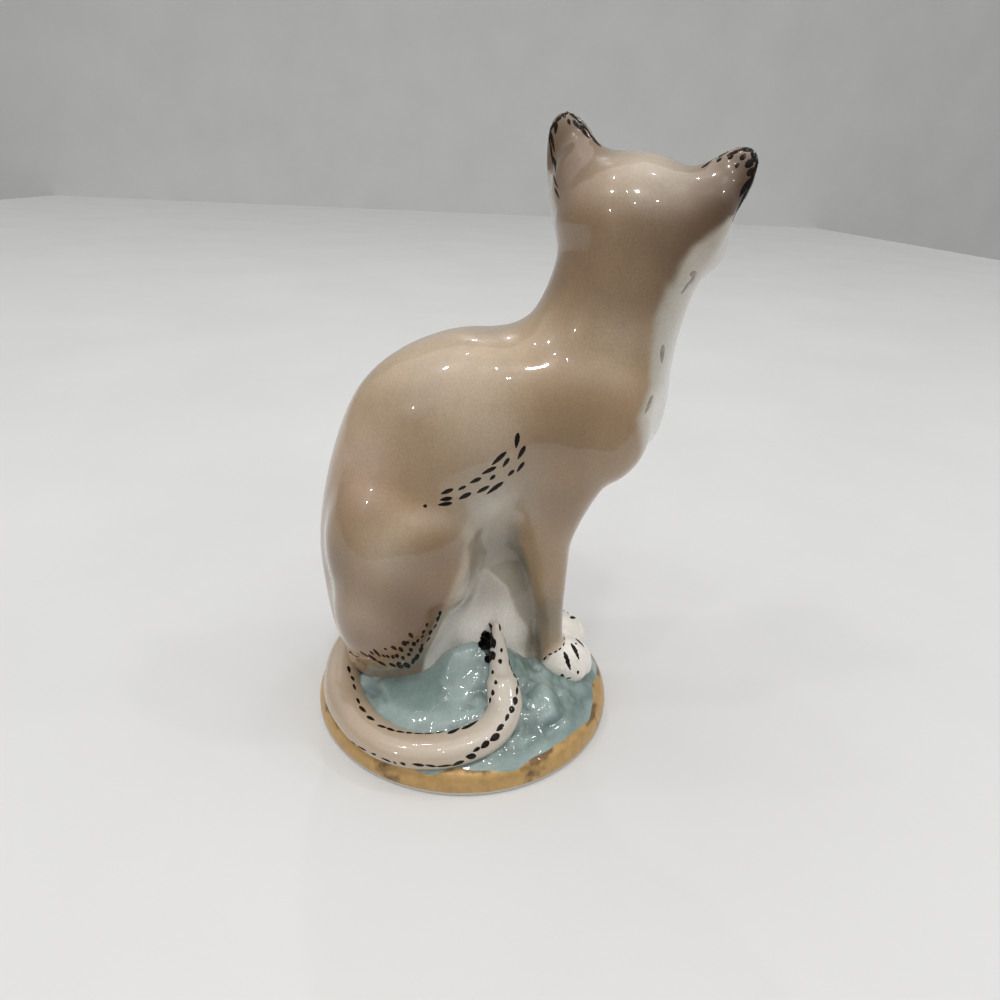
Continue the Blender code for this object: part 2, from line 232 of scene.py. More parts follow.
cat = {
    "grain": 0.55,  # voxel size of the blended skin
    "massPasses": 88,
    "limbPasses": 28,
    "earPasses": 10,
    # unevenness left by the modeller's hand: pitch, height, and less than 1 where it is drawn out upwards
    "handWork": ((8.0, 0.08, 1.0), (2.6, 0.022, 1.0), (2.4, 0.035, 0.2)),
    "trunkSides": 56,
    # rump to nape: back y, back z, front y, front z, half width, pinch of the front
    "trunk": (
        (23.0, -10.5, -15.0, -10.5, 9.0, 0.55),
        (28.4, -0.5, -16.0, -1.5, 10.5, 0.58),
        (30.3, 12.0, -16.4, 10.0, 13.6, 0.62),
        (30.8, 24.0, -16.6, 20.0, 16.4, 0.64),
        (29.3, 34.0, -18.0, 29.0, 17.6, 0.52),
        (26.6, 44.6, -21.8, 36.0, 17.8, 0.32),
        (21.8, 55.5, -28.0, 41.4, 17.4, 0.12),
        (14.1, 62.5, -35.6, 45.6, 16.6, 0.0),
        (4.0, 66.6, -38.1, 52.4, 15.2, 0.0),
        (-4.5, 66.9, -38.0, 59.6, 13.4, 0.0),
        (-10.0, 69.2, -38.4, 67.0, 12.8, 0.0),
        (-13.0, 74.4, -39.5, 73.5, 12.9, 0.0),
        (-14.6, 80.0, -41.0, 79.0, 13.2, 0.0),
        (-16.0, 86.0, -41.0, 85.0, 12.9, 0.0),
    ),
    # folds on both sides that the modeller wiped smooth: place, reach
    "wiped": (
        ((14.5, -16.5, 45.0), 7.0),
        ((13.5, -1.0, 35.0), 5.0),
        ((9.0, -7.0, 29.0), 5.0),
        ((10.5, -1.0, 26.0), 3.5),
    ),
    "wipedOnHead": (
        ((9.5, 9.5, 6.5), 7.5),
        ((6.0, 10.0, 8.0), 6.5),
        ((9.5, 5.5, 9.5), 5.5),
        ((12.0, 5.0, 9.0), 5.0),
        ((13.5, 6.0, 3.0), 6.5),
        ((15.0, 4.0, -1.0), 5.5),
    ),
    "wipePasses": 130,
    "wipeFade": (1.3, 0.5),  # shares of the reach where the wiping begins and is full
    # masses on both sides: place, radii, pitch
    "sideMasses": (
        ((8.2, -22.0, 53.0), (8.6, 11.6, 14.5), -12.0),  # shoulder
        ((8.6, 14.4, 24.6), (10.0, 14.0, 19.0), -6.0),  # thigh
        ((9.8, 11.4, 29.6), (9.8, 13.8, 8.6), -14.0),  # knee
        ((9.2, 7.2, 21.6), (8.8, 9.2, 12.0), 0.0),  # front of the thigh
        ((9.2, 15.8, 12.5), (9.4, 11.6, 16.0), 0.0),  # shank
        ((6.6, 14.5, -1.5), (5.6, 11.5, 7.0), 0.0),  # hock
    ),
    # paw, and slip filled in between haunch and foreleg, joined after the upper masses are smooth
    "lowMasses": (
        ((4.9, -21.6, -4.2), (5.2, 7.0, 5.1), 14.0),  # paw
        ((4.4, -5.0, 4.0), (5.6, 10.0, 19.0), 0.0),
        ((5.0, -4.6, -5.2), (7.0, 10.6, 6.8), 0.0),  # hem
    ),
    # toes of one paw, joined with the ears
    "toes": (
        ((1.9, -24.1, -6.0), (1.7, 3.0, 2.8), 0.0),
        ((4.0, -25.6, -6.0), (1.6, 3.0, 3.0), 0.0),
        ((6.2, -25.4, -6.0), (1.6, 3.0, 3.0), 0.0),
        ((8.2, -23.7, -6.0), (1.6, 3.0, 2.8), 0.0),
    ),
    # shoulder to ankle: x, y, z, half width, half depth
    "foreleg": (
        (8.4, -19.5, 51.0, 7.2, 11.5),
        (7.8, -17.0, 42.0, 6.8, 9.6),
        (7.0, -15.8, 34.0, 6.0, 7.3),
        (6.2, -15.4, 26.5, 4.9, 5.6),
        (5.6, -16.3, 20.0, 4.1, 4.6),
        (5.2, -17.4, 12.0, 3.6, 3.4),
        (5.0, -18.2, 4.0, 3.3, 2.8),
        (5.0, -18.8, -6.5, 3.5, 3.3),
    ),
}

head = {
    "place": (2.0, -28.8, 85.6),
    "turn": 62.0,  # degrees to the cat's left
    "roll": 9.0,
    "nod": 4.0,
    # masses on both sides, then in the middle: place, radii, pitch
    "sideMasses": (
        ((8.3, -3.0, -0.6), (8.4, 9.0, 7.0), 0.0),  # cheek
        ((11.6, 3.2, 4.4), (5.6, 5.0, 8.4), 0.0),  # base of the ear
    ),
    "masses": (
        ((0.0, 1.0, 0.4), (15.2, 14.8, 12.0), 0.0),  # skull
        ((-0.6, -13.0, -4.6), (6.2, 6.6, 5.2), 0.0),  # muzzle
        ((0.0, -8.5, 2.6), (8.4, 8.4, 6.4), 0.0),  # brow
    ),
    # the ears of the left and the right side: inner root, outer root, tip
    "ears": {
        1: ((7.6, 1.6, 10.8), (15.6, 0.6, -4.0), (19.5, 0.9, 14.4)),
        -1: ((7.0, 1.6, 11.6), (14.6, 0.6, -1.0), (17.0, 0.9, 15.0)),
    },
    "earThickness": 5.0,
    "earCup": 2.0,
    "backCup": 0.5,  # share of the cup that the back of an ear follows
    "cupFrom": 0.35,  # share of the way up where the cup is full
    "earTaper": 0.55,
    "earThinning": 0.72,
    "earSpan": (-0.16, 0.985),  # from below the root to just under the tip
    "earSections": 22,
    "earSides": 32,
}


def headMatrix():
    return (
        Matrix.Translation(atCrown(*head["place"]))
        @ Matrix.Rotation(math.radians(head["turn"]), 4, "Z")
        @ Matrix.Rotation(math.radians(-head["roll"]), 4, "Y")
        @ Matrix.Rotation(math.radians(head["nod"]), 4, "X")
    )


def fromCrown(obj):
    return perVertex(obj) / mm - np.array([moundMiddle.x / mm, moundMiddle.y / mm, crownHeight])


def inHead(obj):
    inverse = np.array(headMatrix().inverted())
    return (perVertex(obj) @ inverse[:3, :3].T + inverse[:3, 3]) / mm


def trunkForm():
    rings = []
    for backY, backZ, frontY, frontZ, half, pinch in smoothCurve(cat["trunk"], 5):
        back = atCrown(0, backY, backZ)
        front = atCrown(0, frontY, frontZ)
        across = Vector((half * mm, 0, 0))
        rings.append(ovalRing((back + front) / 2, across, (back - front) / 2, cat["trunkSides"], pinch))
    return loft("trunkForm", rings)


def tubeForm(name, stations, side=1, sides=32, steps=6):
    # oval tube along (x, y, z, half width, half depth) stations from the crown
    curve = smoothCurve(stations, steps)
    rings = []
    for i, (x, y, z, width, depth) in enumerate(curve):
        ahead = curve[min(i + 1, len(curve) - 1)][:3]
        behind = curve[max(i - 1, 0)][:3]
        direction = Vector(ahead - behind).normalized()
        level = Vector((0, 0, 1)) if abs(direction.z) < 0.8 else Vector((0, 1, 0))
        across = level.cross(direction).normalized()
        along = direction.cross(across)
        ring = ovalRing(Vector((x, y, z)), across * width, along * depth, sides)
        rings.append([atCrown(side * p.x, p.y, p.z) for p in ring])
    return loft(name, rings)


def earForm(side):
    inner, outer, tip = (Vector(place) for place in head["ears"][side])
    root = (inner + outer) / 2
    halfRoot = (outer - inner) / 2
    back = halfRoot.cross(tip - root).normalized()
    back *= math.copysign(1, back.y)
    rings = []
    sides = head["earSides"]
    for share in np.linspace(*head["earSpan"], head["earSections"]):
        up = max(share, 0)
        centre = root.lerp(tip, share)
        width = (1 - head["earTaper"] * up) * math.sqrt(1 - up**6)
        thick = head["earThickness"] / 2 * (1 - head["earThinning"] * up)
        cup = head["earCup"] * width * min(up / head["cupFrom"], 1)
        ring = []
        for turn in np.arange(sides) * 2 * math.pi / sides:
            u, v = math.cos(turn), math.sin(turn)
            scoop = (cup if v < 0 else cup * head["backCup"]) * (1 - u * u)
            point = centre + halfRoot * (u * width) + back * (v * thick + scoop)
            ring.append(headMatrix() @ (Vector((side * point.x, point.y, point.z)) * mm))
        rings.append(ring)
    return loft("earForm", rings)


def reskinned(form, grain, passes):
    # one closed skin over a form, with its creases rounded
    applyModifier(form, "REMESH", mode="VOXEL", voxel_size=grain * mm)
    return applyModifier(form, "SMOOTH", factor=0.5, iterations=passes)


def blended(forms, name, passes):
    return reskinned(joinPieces(forms, name), cat["grain"], passes)


def roughen(obj, layers, keep=None, clods=False):
    # moves the surface in and out by noise, in millimetres; keep scales it point by point
    co, no = perVertex(obj), perVertex(obj, "normal")
    rise = np.zeros(len(co))
    for pitch, height, drawn in layers:
        waves = np.array([noise.noise(Vector(p)) for p in co * (1, 1, drawn) / (pitch * mm)])
        rise += height * (2 * np.abs(waves) - 0.5 if clods else waves)
    if keep is not None:
        rise *= keep
    setCoords(obj, co + no * (rise * mm)[:, None])
    return rise


def wipeFolds(obj):
    # extra smoothing that fades out round each place
    outer, inner = cat["wipeFade"]
    ownWeights = np.zeros(len(obj.data.vertices))
    for table, places in (("wiped", fromCrown(obj)), ("wipedOnHead", inHead(obj))):
        for (x, y, z), reach in cat[table]:
            away = np.sqrt(((places * (0, 1, 1) + np.abs(places) * (1, 0, 0) - (x, y, z)) ** 2).sum(1))
            ownWeights = np.maximum(ownWeights, smoothStep(reach * outer, reach * inner, away))
    group = obj.vertex_groups.new(name="wiped")
    for index in np.flatnonzero(ownWeights > 0.01):
        group.add([int(index)], float(ownWeights[index]), "REPLACE")
    applyModifier(obj, "SMOOTH", factor=0.5, iterations=cat["wipePasses"], vertex_group="wiped")
    obj.vertex_groups.clear()


def masses(table, side, frameMatrix=None):
    return [ball((side * x, y, z), radii, pitch, frameMatrix) for (x, y, z), radii, pitch in table]


def makeCat():
    frameMatrix = headMatrix()
    torso = [trunkForm()]
    for side in (-1, 1):
        torso += masses(cat["sideMasses"], side) + masses(head["sideMasses"], side, frameMatrix)
    torso += masses(head["masses"], 1, frameMatrix)
    limbs = [blended(torso, "catForm", cat["massPasses"])]
    for side in (-1, 1):
        limbs.append(tubeForm("forelegForm", cat["foreleg"], side))
        limbs += masses(cat["lowMasses"], side)
    small = [blended(limbs, "catForm", cat["limbPasses"]), earForm(1), earForm(-1)]
    for side in (-1, 1):
        small += masses(cat["toes"], side)
    withEars = blended(small, "catSkin", cat["earPasses"])
    wipeFolds(withEars)
    roughen(withEars, cat["handWork"])
    withEars.data.shade_smooth()
    return withEars


catSkin = makeCat()
print("cat modelled:", len(catSkin.data.vertices), "vertices")


# The mound

mound = {
    "radius": 32.6,
    "footInset": 0.6,
    "footHeight": 0.9,
    "bandHeight": 4.4,
    "bandInset": 1.0,
    "bellyShare": 0.35,  # how far up the band the base is widest
    "shoulderShare": 0.3,  # share of the inset that the band has lost halfway to its top
    "footRound": (0.35, 0.28),  # shares of the foot's inset and height where it turns in
    "recessSlope": 0.5,
    "domePower": 2.1,
    "hummockFade": 6,
    "footRing": 3.8,
    "recess": 4.5,
    "ventRadius": 4.0,
    "slack": 0.2,  # how far over the recess the ground has to be
    "steps": 320,
    "rings": 84,
    "clods": ((6.5, 0.62, 1.0), (3.2, 0.3, 1.0), (1.5, 0.09, 1.0)),  # modelled turf, as handWork
    "clodEnd": (0.86, 1.0),  # shares of the dome's radius between which the turf ends
    "calm": ((-16.0, 8.0, 9.5),),  # smooth places: x, y, radius
    "calmShare": 0.85,  # how much of the turf they lose
    "calmFade": (1.25, 0.75),  # shares of the radius where that begins and is full
    # how thin the glaze is, and what the turf, the height of its clods and the first hummock add to that;
    # the lighter crest of that hummock is thin glaze and a painted highlight both
    "thinGlaze": (0.70, -0.17, 0.6, 0.3),
    "hummocks": (  # x, y, height, spread
        (-10.5, -3.0, 4.6, 5.0),
        (-12.0, 3.2, 3.3, 2.9),
        (-11.0, -9.2, 3.4, 3.2),
        (-18.0, -19.0, 1.6, 4.5),
        (-22.5, 9.0, 0.5, 5.0),
        (-13.0, 9.0, -1.0, 5.0),
        (-24.5, -15.0, 1.3, 2.2),
        (-20.0, -21.0, 1.1, 2.2),
        (12.0, -4.0, 3.0, 6.0),
        (19.0, 10.0, 1.0, 7.0),
    ),
}


def groundHeight(x, y):
    # height of the ground over the foot, for places in millimetres from the mound's middle
    reach = mound["radius"] - mound["bandInset"]
    share = np.minimum(np.hypot(x, y) / reach, 1.0)
    height = mound["bandHeight"] + (crownHeight - mound["bandHeight"]) * (1 - share ** mound["domePower"])
    inward = 1 - share ** mound["hummockFade"]
    for lumpX, lumpY, lump, spread in mound["hummocks"]:
        height = height + lump * np.exp(-(((x - lumpX) ** 2 + (y - lumpY) ** 2) / spread**2)) * inward
    return height


def moundProfile():
    # radius and height of each point, without a height where the ground gives it
    radius, band, foot = mound["radius"], mound["bandHeight"], mound["footHeight"]
    belly = foot + (band - foot) * mound["bellyShare"]
    ringInside = radius - mound["footInset"] - mound["footRing"]
    insetRound, heightRound = mound["footRound"]
    dome = np.linspace(mound["ventRadius"], radius - mound["bandInset"], mound["rings"])
    return [(reach, None) for reach in dome] + [
        (radius - mound["bandInset"] * mound["shoulderShare"], (belly + band) / 2),
        (radius, belly),
        (radius, foot),
        (radius - mound["footInset"] * insetRound, foot * heightRound),
        (radius - mound["footInset"], 0.0),
        (ringInside, 0.0),
        (ringInside - mound["recess"] * mound["recessSlope"], mound["recess"]),
        (mound["ventRadius"], mound["recess"]),
    ]


def spunForm(name, profile, steps):
    # a closed outline, spun round the upright axis
    deselectAll()
    bpy.ops.mesh.primitive_plane_add(size=1.0)
    obj = bpy.context.object
    obj.name = name
    mesh = bmesh.new()
    made = []
    for reach, height in profile:
        height = groundHeight(reach, 0.0) if height is None else height
        made.append(mesh.verts.new((reach * mm, 0, height * mm)))
    for a, b in zip(made, made[1:] + made[:1]):
        mesh.edges.new((a, b))
    mesh.to_mesh(obj.data)
    mesh.free()
    bpy.ops.object.mode_set(mode="EDIT")
    bpy.ops.mesh.select_all(action="SELECT")
    bpy.ops.mesh.spin(steps=steps, angle=2 * math.pi, center=(0, 0, 0), axis=(0, 0, 1))
    bpy.ops.mesh.select_all(action="SELECT")
    bpy.ops.mesh.remove_doubles(threshold=0.00001)
    bpy.ops.mesh.normals_make_consistent(inside=False)
    bpy.ops.object.mode_set(mode="OBJECT")
    return obj


def makeMound():
    # the top of the spun form takes the height of the ground
    obj = spunForm("moundSkin", moundProfile(), mound["steps"])
    co = perVertex(obj) / mm
    x, y = co[:, 0], co[:, 1]
    reach, brim = np.hypot(x, y), mound["radius"] - mound["bandInset"]
    lowest = max(mound["bandHeight"], mound["recess"] + mound["slack"])
    top = (co[:, 2] > lowest) & (reach < brim + 0.01)
    co[top, 2] = groundHeight(x[top], y[top])
    keep = np.where(top, 1 - smoothStep(*mound["clodEnd"], reach / brim), 0.0)
    outer, inner = mound["calmFade"]
    for calmX, calmY, radius in mound["calm"]:
        away = np.hypot(x - calmX, y - calmY)
        keep *= 1 - mound["calmShare"] * smoothStep(radius * outer, radius * inner, away)
    # the crest of the first hummock is lighter: thinner glaze there, and a painted highlight
    crestX, crestY, _, spread = mound["hummocks"][0]
    crestThinAndHighlight = np.exp(-((x - crestX) ** 2 + (y - crestY) ** 2) / spread**2) * top
    setCoords(obj, co * mm + (moundMiddle.x, moundMiddle.y, 0))
    rise = roughen(obj, mound["clods"], keep, clods=True)
    plain, turf, clod, crown = mound["thinGlaze"]
    thin = np.clip(plain + turf * keep + clod * rise + crown * crestThinAndHighlight, 0, 1)
    layer = obj.data.attributes.new("thinGlaze", "FLOAT", "POINT")
    layer.data.foreach_set("value", thin.astype(np.float32))
    obj.data.shade_smooth()
    return obj


moundSkin = makeMound()
print("mound modelled:", len(moundSkin.data.vertices), "vertices")


# The tail

tail = {
    "flatness": 0.8,
    "sides": 28,
    "grain": 0.45,
    "passes": 12,
    "handWork": ((5.0, 0.09, 1.0), (2.2, 0.025, 1.0)),
    "stations": (  # x, y, lift over the ground, radius
        (7.0, 19.0, 4.0, 4.2),
        (0.0, 25.6, 2.0, 4.3),
        (-9.5, 26.2, 0.9, 4.2),
        (-17.4, 22.9, 0.7, 4.1),
        (-23.5, 17.6, 0.7, 4.0),
        (-26.8, 11.8, 0.7, 4.0),
        (-28.0, 5.8, 0.8, 3.9),
        (-27.3, 0.2, 0.8, 3.9),
        (-25.2, -4.6, 0.9, 3.8),
        (-21.8, -7.3, 1.0, 3.6),
        (-18.4, -7.5, 1.1, 3.6),
        (-16.0, -7.0, 1.6, 3.2),
        (-14.2, -6.6, 2.8, 2.6),
        (-12.8, -6.2, 4.8, 1.9),
        (-11.8, -5.8, 7.4, 1.0),
    ),
}


def makeTail():
    stations = []
    for x, y, lift, radius in tail["stations"]:
        z = float(groundHeight(x, y)) + lift - crownHeight
        stations.append((x, y, z, radius, radius * tail["flatness"]))
    form = reskinned(tubeForm("tailSkin", stations, sides=tail["sides"]), tail["grain"], tail["passes"])
    roughen(form, tail["handWork"])
    form.data.shade_smooth()
    return form


tailSkin = makeTail()
print("tail modelled:", len(tailSkin.data.vertices), "vertices")


# Airbrushed paint, kept as a colour on each point of the skins

paint = {
    "tones": {
        "tan": (0.40, 0.272, 0.156),
        "cream": (0.575, 0.525, 0.455),
        "pale": (0.65, 0.57, 0.46),
        "brown": (0.115, 0.062, 0.026),
        "dun": (0.215, 0.132, 0.066),
        # pink for the painted reflection on the rump
        "pinkReflection": (0.52, 0.345, 0.255),
        "white": (0.86, 0.84, 0.79),
        "chalk": (0.73, 0.72, 0.68),
        "milk": (0.50, 0.455, 0.37),
        "grey": (0.20, 0.185, 0.14),
        "rose": (0.62, 0.36, 0.30),
        "umber": (0.085, 0.04, 0.013),
        "ash": (0.40, 0.365, 0.305),
        # dark tone for the painted shade in the crease behind the foreleg
        "creaseShade": (0.17, 0.14, 0.10),
        "ink": (0.012, 0.01, 0.009),
    },
    # sprays on both sides, laid one over the other: x, y, z, radius, strength, tone
    "coatSprays": (
        # top of the back, lighter as painted light from above
        (0, 8, 66, 17, 0.38, "pale"), (10, 3, 58, 9, 0.3, "pale"),
        # rump, with a pinkish lighter patch that is a painted reflection
        (15, 22, 44, 8, 0.75, "pinkReflection"), (14, 22, 50, 6, 0.35, "pale"), (15, 21, 46, 5, 0.3, "pale"),
        # thigh
        (7, 29, 25, 7, 0.45, "dun"), (14, 26, 38, 5, 0.3, "dun"), (16, 17, 27, 5, 0.25, "pale"),
        (16, 9, 30.5, 5.5, 0.65, "dun"), (12, 28, 34, 7, 0.4, "dun"), (16, 6, 29, 7, 0.4, "dun"),
        (15, 24, 22, 8, 0.4, "dun"),
        # round the shoulder
        (14, -14, 50, 7, 0.55, "dun"), (14, -26, 52, 8, 0.2, "dun"),
        # nape
        (8, -16, 80, 8, 0.55, "dun"), (12, -24, 74, 7, 0.35, "dun"),
        # back; the low spray is painted shade along its rear edge
        (9, 28, 18, 10, 0.85, "dun"), (4, 30, 34, 9, 0.45, "dun"),
        # shank
        (16, 12, 13, 11, 0.6, "dun"), (14, 6, 10, 9, 0.97, "brown"), (14, 10, 16, 9, 0.6, "dun"),
        (12, 9, 3, 6, 0.6, "brown"), (16, 4, 26, 6, 0.4, "dun"), (16, 11, 14.5, 6, 0.5, "brown"),
        (14, 24, 8, 5, 0.4, "dun"), (15, 20, 14, 5, 0.3, "pale"),
        # shoulder and elbow
        (15, -18, 59, 7, 0.35, "dun"), (14, -15, 38, 5, 0.35, "dun"),
        # point of the knee
        (15, 4, 34, 5, 0.45, "dun"), (12, -2, 24, 4, 0.5, "dun"),
        # foreleg
        (9, -17, 8, 7, 0.7, "grey"), (9, -16, 34, 7, 0.2, "dun"),
        # under the flank; the white spray there is a painted reflection
        (14, -4, 38, 8, 0.75, "milk"), (16, -2, 52, 6, 0.35, "pale"), (14, -5, 35, 4.5, 0.5, "white"),
        # last touches
        (12.5, -24, 69, 7, 0.28, "pale"), (17, 21, 9, 5, 0.4, "brown"), (13, 27, 25, 5, 0.35, "brown"),
        (18.8, 15, 30, 5, 0.3, "pale"), (11, 13, 56, 6, 0.25, "dun"), (13, -21, 37, 5, 0.25, "dun"),
    ),
    # the same in the head's own frame, with the side where a spray has only one: 1 left, -1 right
    "headSprays": (
        # crown and nape
        (-2, 4, 14, 13, 0.95, "pale"), (0, 16, -8, 9, 0.35, "dun"),
        # under the ears
        (15, 6, -2, 9, 0.7, "brown"), (12, 10, -12, 9, 0.6, "dun"), (8, 14, 2, 6, 0.35, "dun"),
        # backs of the ears
        (17, 4, 7, 10, 0.9, "brown", 1), (14, 5, 11, 8, 0.8, "dun", 1), (15, 4, 9, 7, 0.5, "umber", 1),
        (9, 8, 9, 6, 0.4, "dun", 1), (3.5, 15, 3, 6, 0.4, "dun"), (5, 9, 10, 6, 0.5, "pale", -1),
        (17, 4, 8, 12, 0.98, "umber", -1), (13, 9, 0, 7, 0.6, "brown", -1),
        # bridge of the nose
        (0, -12, 4, 7, 0.5, "dun"),
    ),
    "tailSprays": (
        (4, 24, 4, 14, 0.9, "tan"), (24, 20, -8, 12, 0.6, "tan"), (15, 25, -6, 7, 0.35, "dun"),
        (28, 5, -12, 6, 0.2, "dun"), (30, 8, -12, 9, 0.35, "tan"),
    ),
    # edges of the paint, as pairs of where along the edge and where it lies there
    "edges": {
        # by height: y of the front of the haunch, the back of the foreleg, the white arch and the bib
        "haunch": ((-8, 10), (2.8, 8.7), (8, 6.6), (13, 4.6), (19, 2.6), (25, 0.5), (30, -0.6), (36, 1.3)),
        "foreleg": (
            (-8, -17.5), (-0.5, -16.7), (2.9, -15.9), (9.4, -14.6), (17, -13), (27.4, -9.8), (34, -9),
        ),
        "arch": ((-8, -15.5), (1.5, -14.0), (6, -12.3), (10, -10), (16, -7.7), (20, -3.6), (22, 3)),
        "bib": ((40, -34), (48, -31), (55, -28.8), (60, -31.4), (67, -30.6), (72, -30.4), (76, -31.5)),
        # by the distance ahead of the crown: top of the white paw
        "pawTop": ((15.5, -9), (16.8, -3.6), (18.7, -0.6), (20.7, 0.7), (21.7, 1.3), (24, 1.8)),
        # in the head's frame: top of the white face by the distance from its middle, y of the back of the
        # white cheeks by height, and lower edge of the left cheek by y
        "faceTop": ((0, -2.6), (2, -2), (4, -0.8), (7, -0.2), (10, 2.4), (12.5, 5.5), (16, 6.5)),
        "cheek": (
            (-20, 9.8), (-3.3, 9.8), (-0.6, 9.0), (0.9, 7.7), (3, 6.3), (5, 4.6), (6.2, -2), (8, -20),
        ),
        "jaw": ((-16, -12.5), (-8, -12), (-2, -10.8), (3, -8), (7, -3.5), (10, 1)),
    },
    # where a tone fades in: the distance or height where it is nothing, and where it is full
    "fades": {
        # head and web
        "headSprays": (68, 76), "webFront": (-0.2, 0.7), "webBack": (-0.6, 0.8), "webTop": (38, 27),
        # painted shade in the crease and along the seam beside the foreleg
        "creaseShadeWidth": (6.5, 1.0), "creaseShadeTop": (31, 19), "seamShadeWidth": (2.4, 0.5), "seamShadeTop": (34, 28),
        # lit rim of the haunch, a painted highlight, and grey of the web
        "rimHighlightBack": (-2.4, -0.6), "rimHighlightFront": (0.8, 0.0), "rimHighlightTop": (36, 30), "rimHighlightFoot": (-2, 8),
        "greyFoot": (8, 16), "greyTop": (30, 24),
        # white arch and its hem
        "archEdge": (-0.4, 0.8), "archTop": (22, 19), "archThinning": (5, 17), "archFront": (-16, -6),
        "hemTop": (23, 18), "hemFoot": (2, 7),
        # ankle and paw
        "ankleShade": (-3.0, -0.3), "ankleFront": (-15.5, -16.5), "pawTop": (-0.5, 0.5),
        # throat and face
        "white": (1.0, -1.0), "bibFoot": (42, 48), "faceTop": (0.7, -0.7), "leftSide": (3, 8),
        "cheekFoot": (76, 79), "leftBibTop": (82, 78), "chalkEdge": (0, -5), "chalkThinning": (58, 74),
        # ears
        "hollowFacing": (0.2, 0.6), "hollowFoot": (5.5, 8.5), "hollowInside": (10.0, 11.5),
        "innerRimFoot": (10.5, 12.5), "innerRim": (12.5, 13.5), "outerRimFoot": (7, 9),
        "outerRim": (15.5, 16.5), "rimTurn": (0.62, 0.38),
    },
    "strengths": {
        "ash": 0.9,
        # painted shade in the crease and along the seam beside the foreleg
        "creaseShade": 0.88,
        "seamShade": 0.45,
        # painted highlight along the front rim of the haunch
        "haunchRimHighlight": 0.45,
        "grey": 0.25,
        "archThinning": 0.72,
        "hem": 0.35,
        "ankle": 0.5,
        "chalkThinning": 0.6,
        "rose": 0.8,
        "earRim": 0.95,
    },
    "hemSpread": 0.2,
    # over this height the chalky white follows the cheek, from this far inside its edge
    "neckTop": 77,
    "cheekDepth": 6,
}


def covered(colours, cover, tone):
    return colours * (1 - cover[:, None]) + np.array(paint["tones"][tone]) * cover[:, None]


def sprayed(colours, co, sprays):
    for x, y, z, radius, strength, tone, *side in sprays:
        across = co[:, 0] * side[0] if side else np.abs(co[:, 0])
        away = (across - x) ** 2 + (co[:, 1] - y) ** 2 + (co[:, 2] - z) ** 2
        colours = covered(colours, strength * np.exp(-away / radius**2), tone)
    return colours


def plainCoat(obj, tone):
    return np.tile(np.array(paint["tones"][tone]), (len(obj.data.vertices), 1))


def keepPaint(obj, colours):
    layer = obj.data.color_attributes.new("paint", "FLOAT_COLOR", "POINT")
    rgba = np.ones((len(colours), 4), np.float32)
    rgba[:, :3] = colours
    layer.data.foreach_set("color", rgba.ravel())


def edgeAt(name, along):
    places, edges = np.array(paint["edges"][name]).T
    return np.interp(along, places, edges)


def fade(name, value):
    return smoothStep(*paint["fades"][name], value)


def paintWeb(colours, co):
    # the slip between haunch and foreleg: ashen, with painted shade in the crease along the foreleg, a
    # painted highlight on the haunch's front rim, and a white arch below
    y, z = co[:, 1], co[:, 2]
    strength = paint["strengths"]
    ahead = edgeAt("haunch", z) - y
    behind = y - edgeAt("foreleg", z)
    inArch = y - edgeAt("arch", z)
    web = fade("webFront", ahead) * fade("webBack", behind) * fade("webTop", z)
    colours = covered(colours, web * strength["ash"], "ash")
    # painted shade: dark in the crease along the back of the foreleg, weaker higher up
    creaseShade = strength["creaseShade"] * fade("creaseShadeWidth", behind) * fade("creaseShadeTop", z)
    seamShade = strength["seamShade"] * fade("seamShadeWidth", behind) * fade("seamShadeTop", z)
    colours = covered(colours, web * np.maximum(creaseShade, seamShade), "creaseShade")
    # painted highlight: a pale band along the front edge of the haunch
    rimHighlight = fade("rimHighlightBack", ahead) * fade("rimHighlightFront", ahead) * fade("rimHighlightTop", z) * fade("rimHighlightFoot", z)
    colours = covered(colours, rimHighlight * strength["haunchRimHighlight"], "pale")
    colours = covered(colours, web * strength["grey"] * fade("greyFoot", z) * fade("greyTop", z), "grey")
    arch = web * fade("archEdge", inArch) * fade("archTop", z) * fade("archFront", y)
    arch *= 1 - strength["archThinning"] * fade("archThinning", z)
    colours = covered(colours, arch, "white")
    hem = web * np.exp(-(inArch**2) / paint["hemSpread"]) * fade("hemTop", z) * fade("hemFoot", z)
    return covered(colours, hem * strength["hem"], "white")


def paintPaws(colours, co):
    belowTop = edgeAt("pawTop", -co[:, 1]) - co[:, 2]
    ankle = fade("ankleShade", belowTop) * fade("ankleFront", co[:, 1])
    colours = covered(colours, ankle * paint["strengths"]["ankle"], "pale")
    return covered(colours, fade("pawTop", belowTop), "white")


def paintWhites(colours, co, hd):
    # white throat and face; past the jaw of the left side, which the head turns to, the neck is tan
    z = co[:, 2]
    behindBib = co[:, 1] - edgeAt("bib", z)
    behindCheek = hd[:, 1] - edgeAt("cheek", hd[:, 2])
    overFace = hd[:, 2] - edgeAt("faceTop", np.abs(hd[:, 0]))
    underJaw = edgeAt("jaw", hd[:, 1]) - hd[:, 2]
    bib = fade("white", behindBib) * fade("bibFoot", z)
    cheek = fade("white", behindCheek) * fade("faceTop", overFace)
    left, above = fade("leftSide", hd[:, 0]), fade("cheekFoot", z)
    rightWhite = bib * (1 - above) + cheek * above
    leftWhite = np.maximum(bib * fade("leftBibTop", z), cheek * fade("white", underJaw))
    white = rightWhite * (1 - left) + leftWhite * left
    inward = np.where(z > paint["neckTop"], behindCheek + paint["cheekDepth"], behindBib)
    thinning = 1 - paint["strengths"]["chalkThinning"] * fade("chalkThinning", z)
    return covered(covered(colours, white, "milk"), white * fade("chalkEdge", inward) * thinning, "chalk")


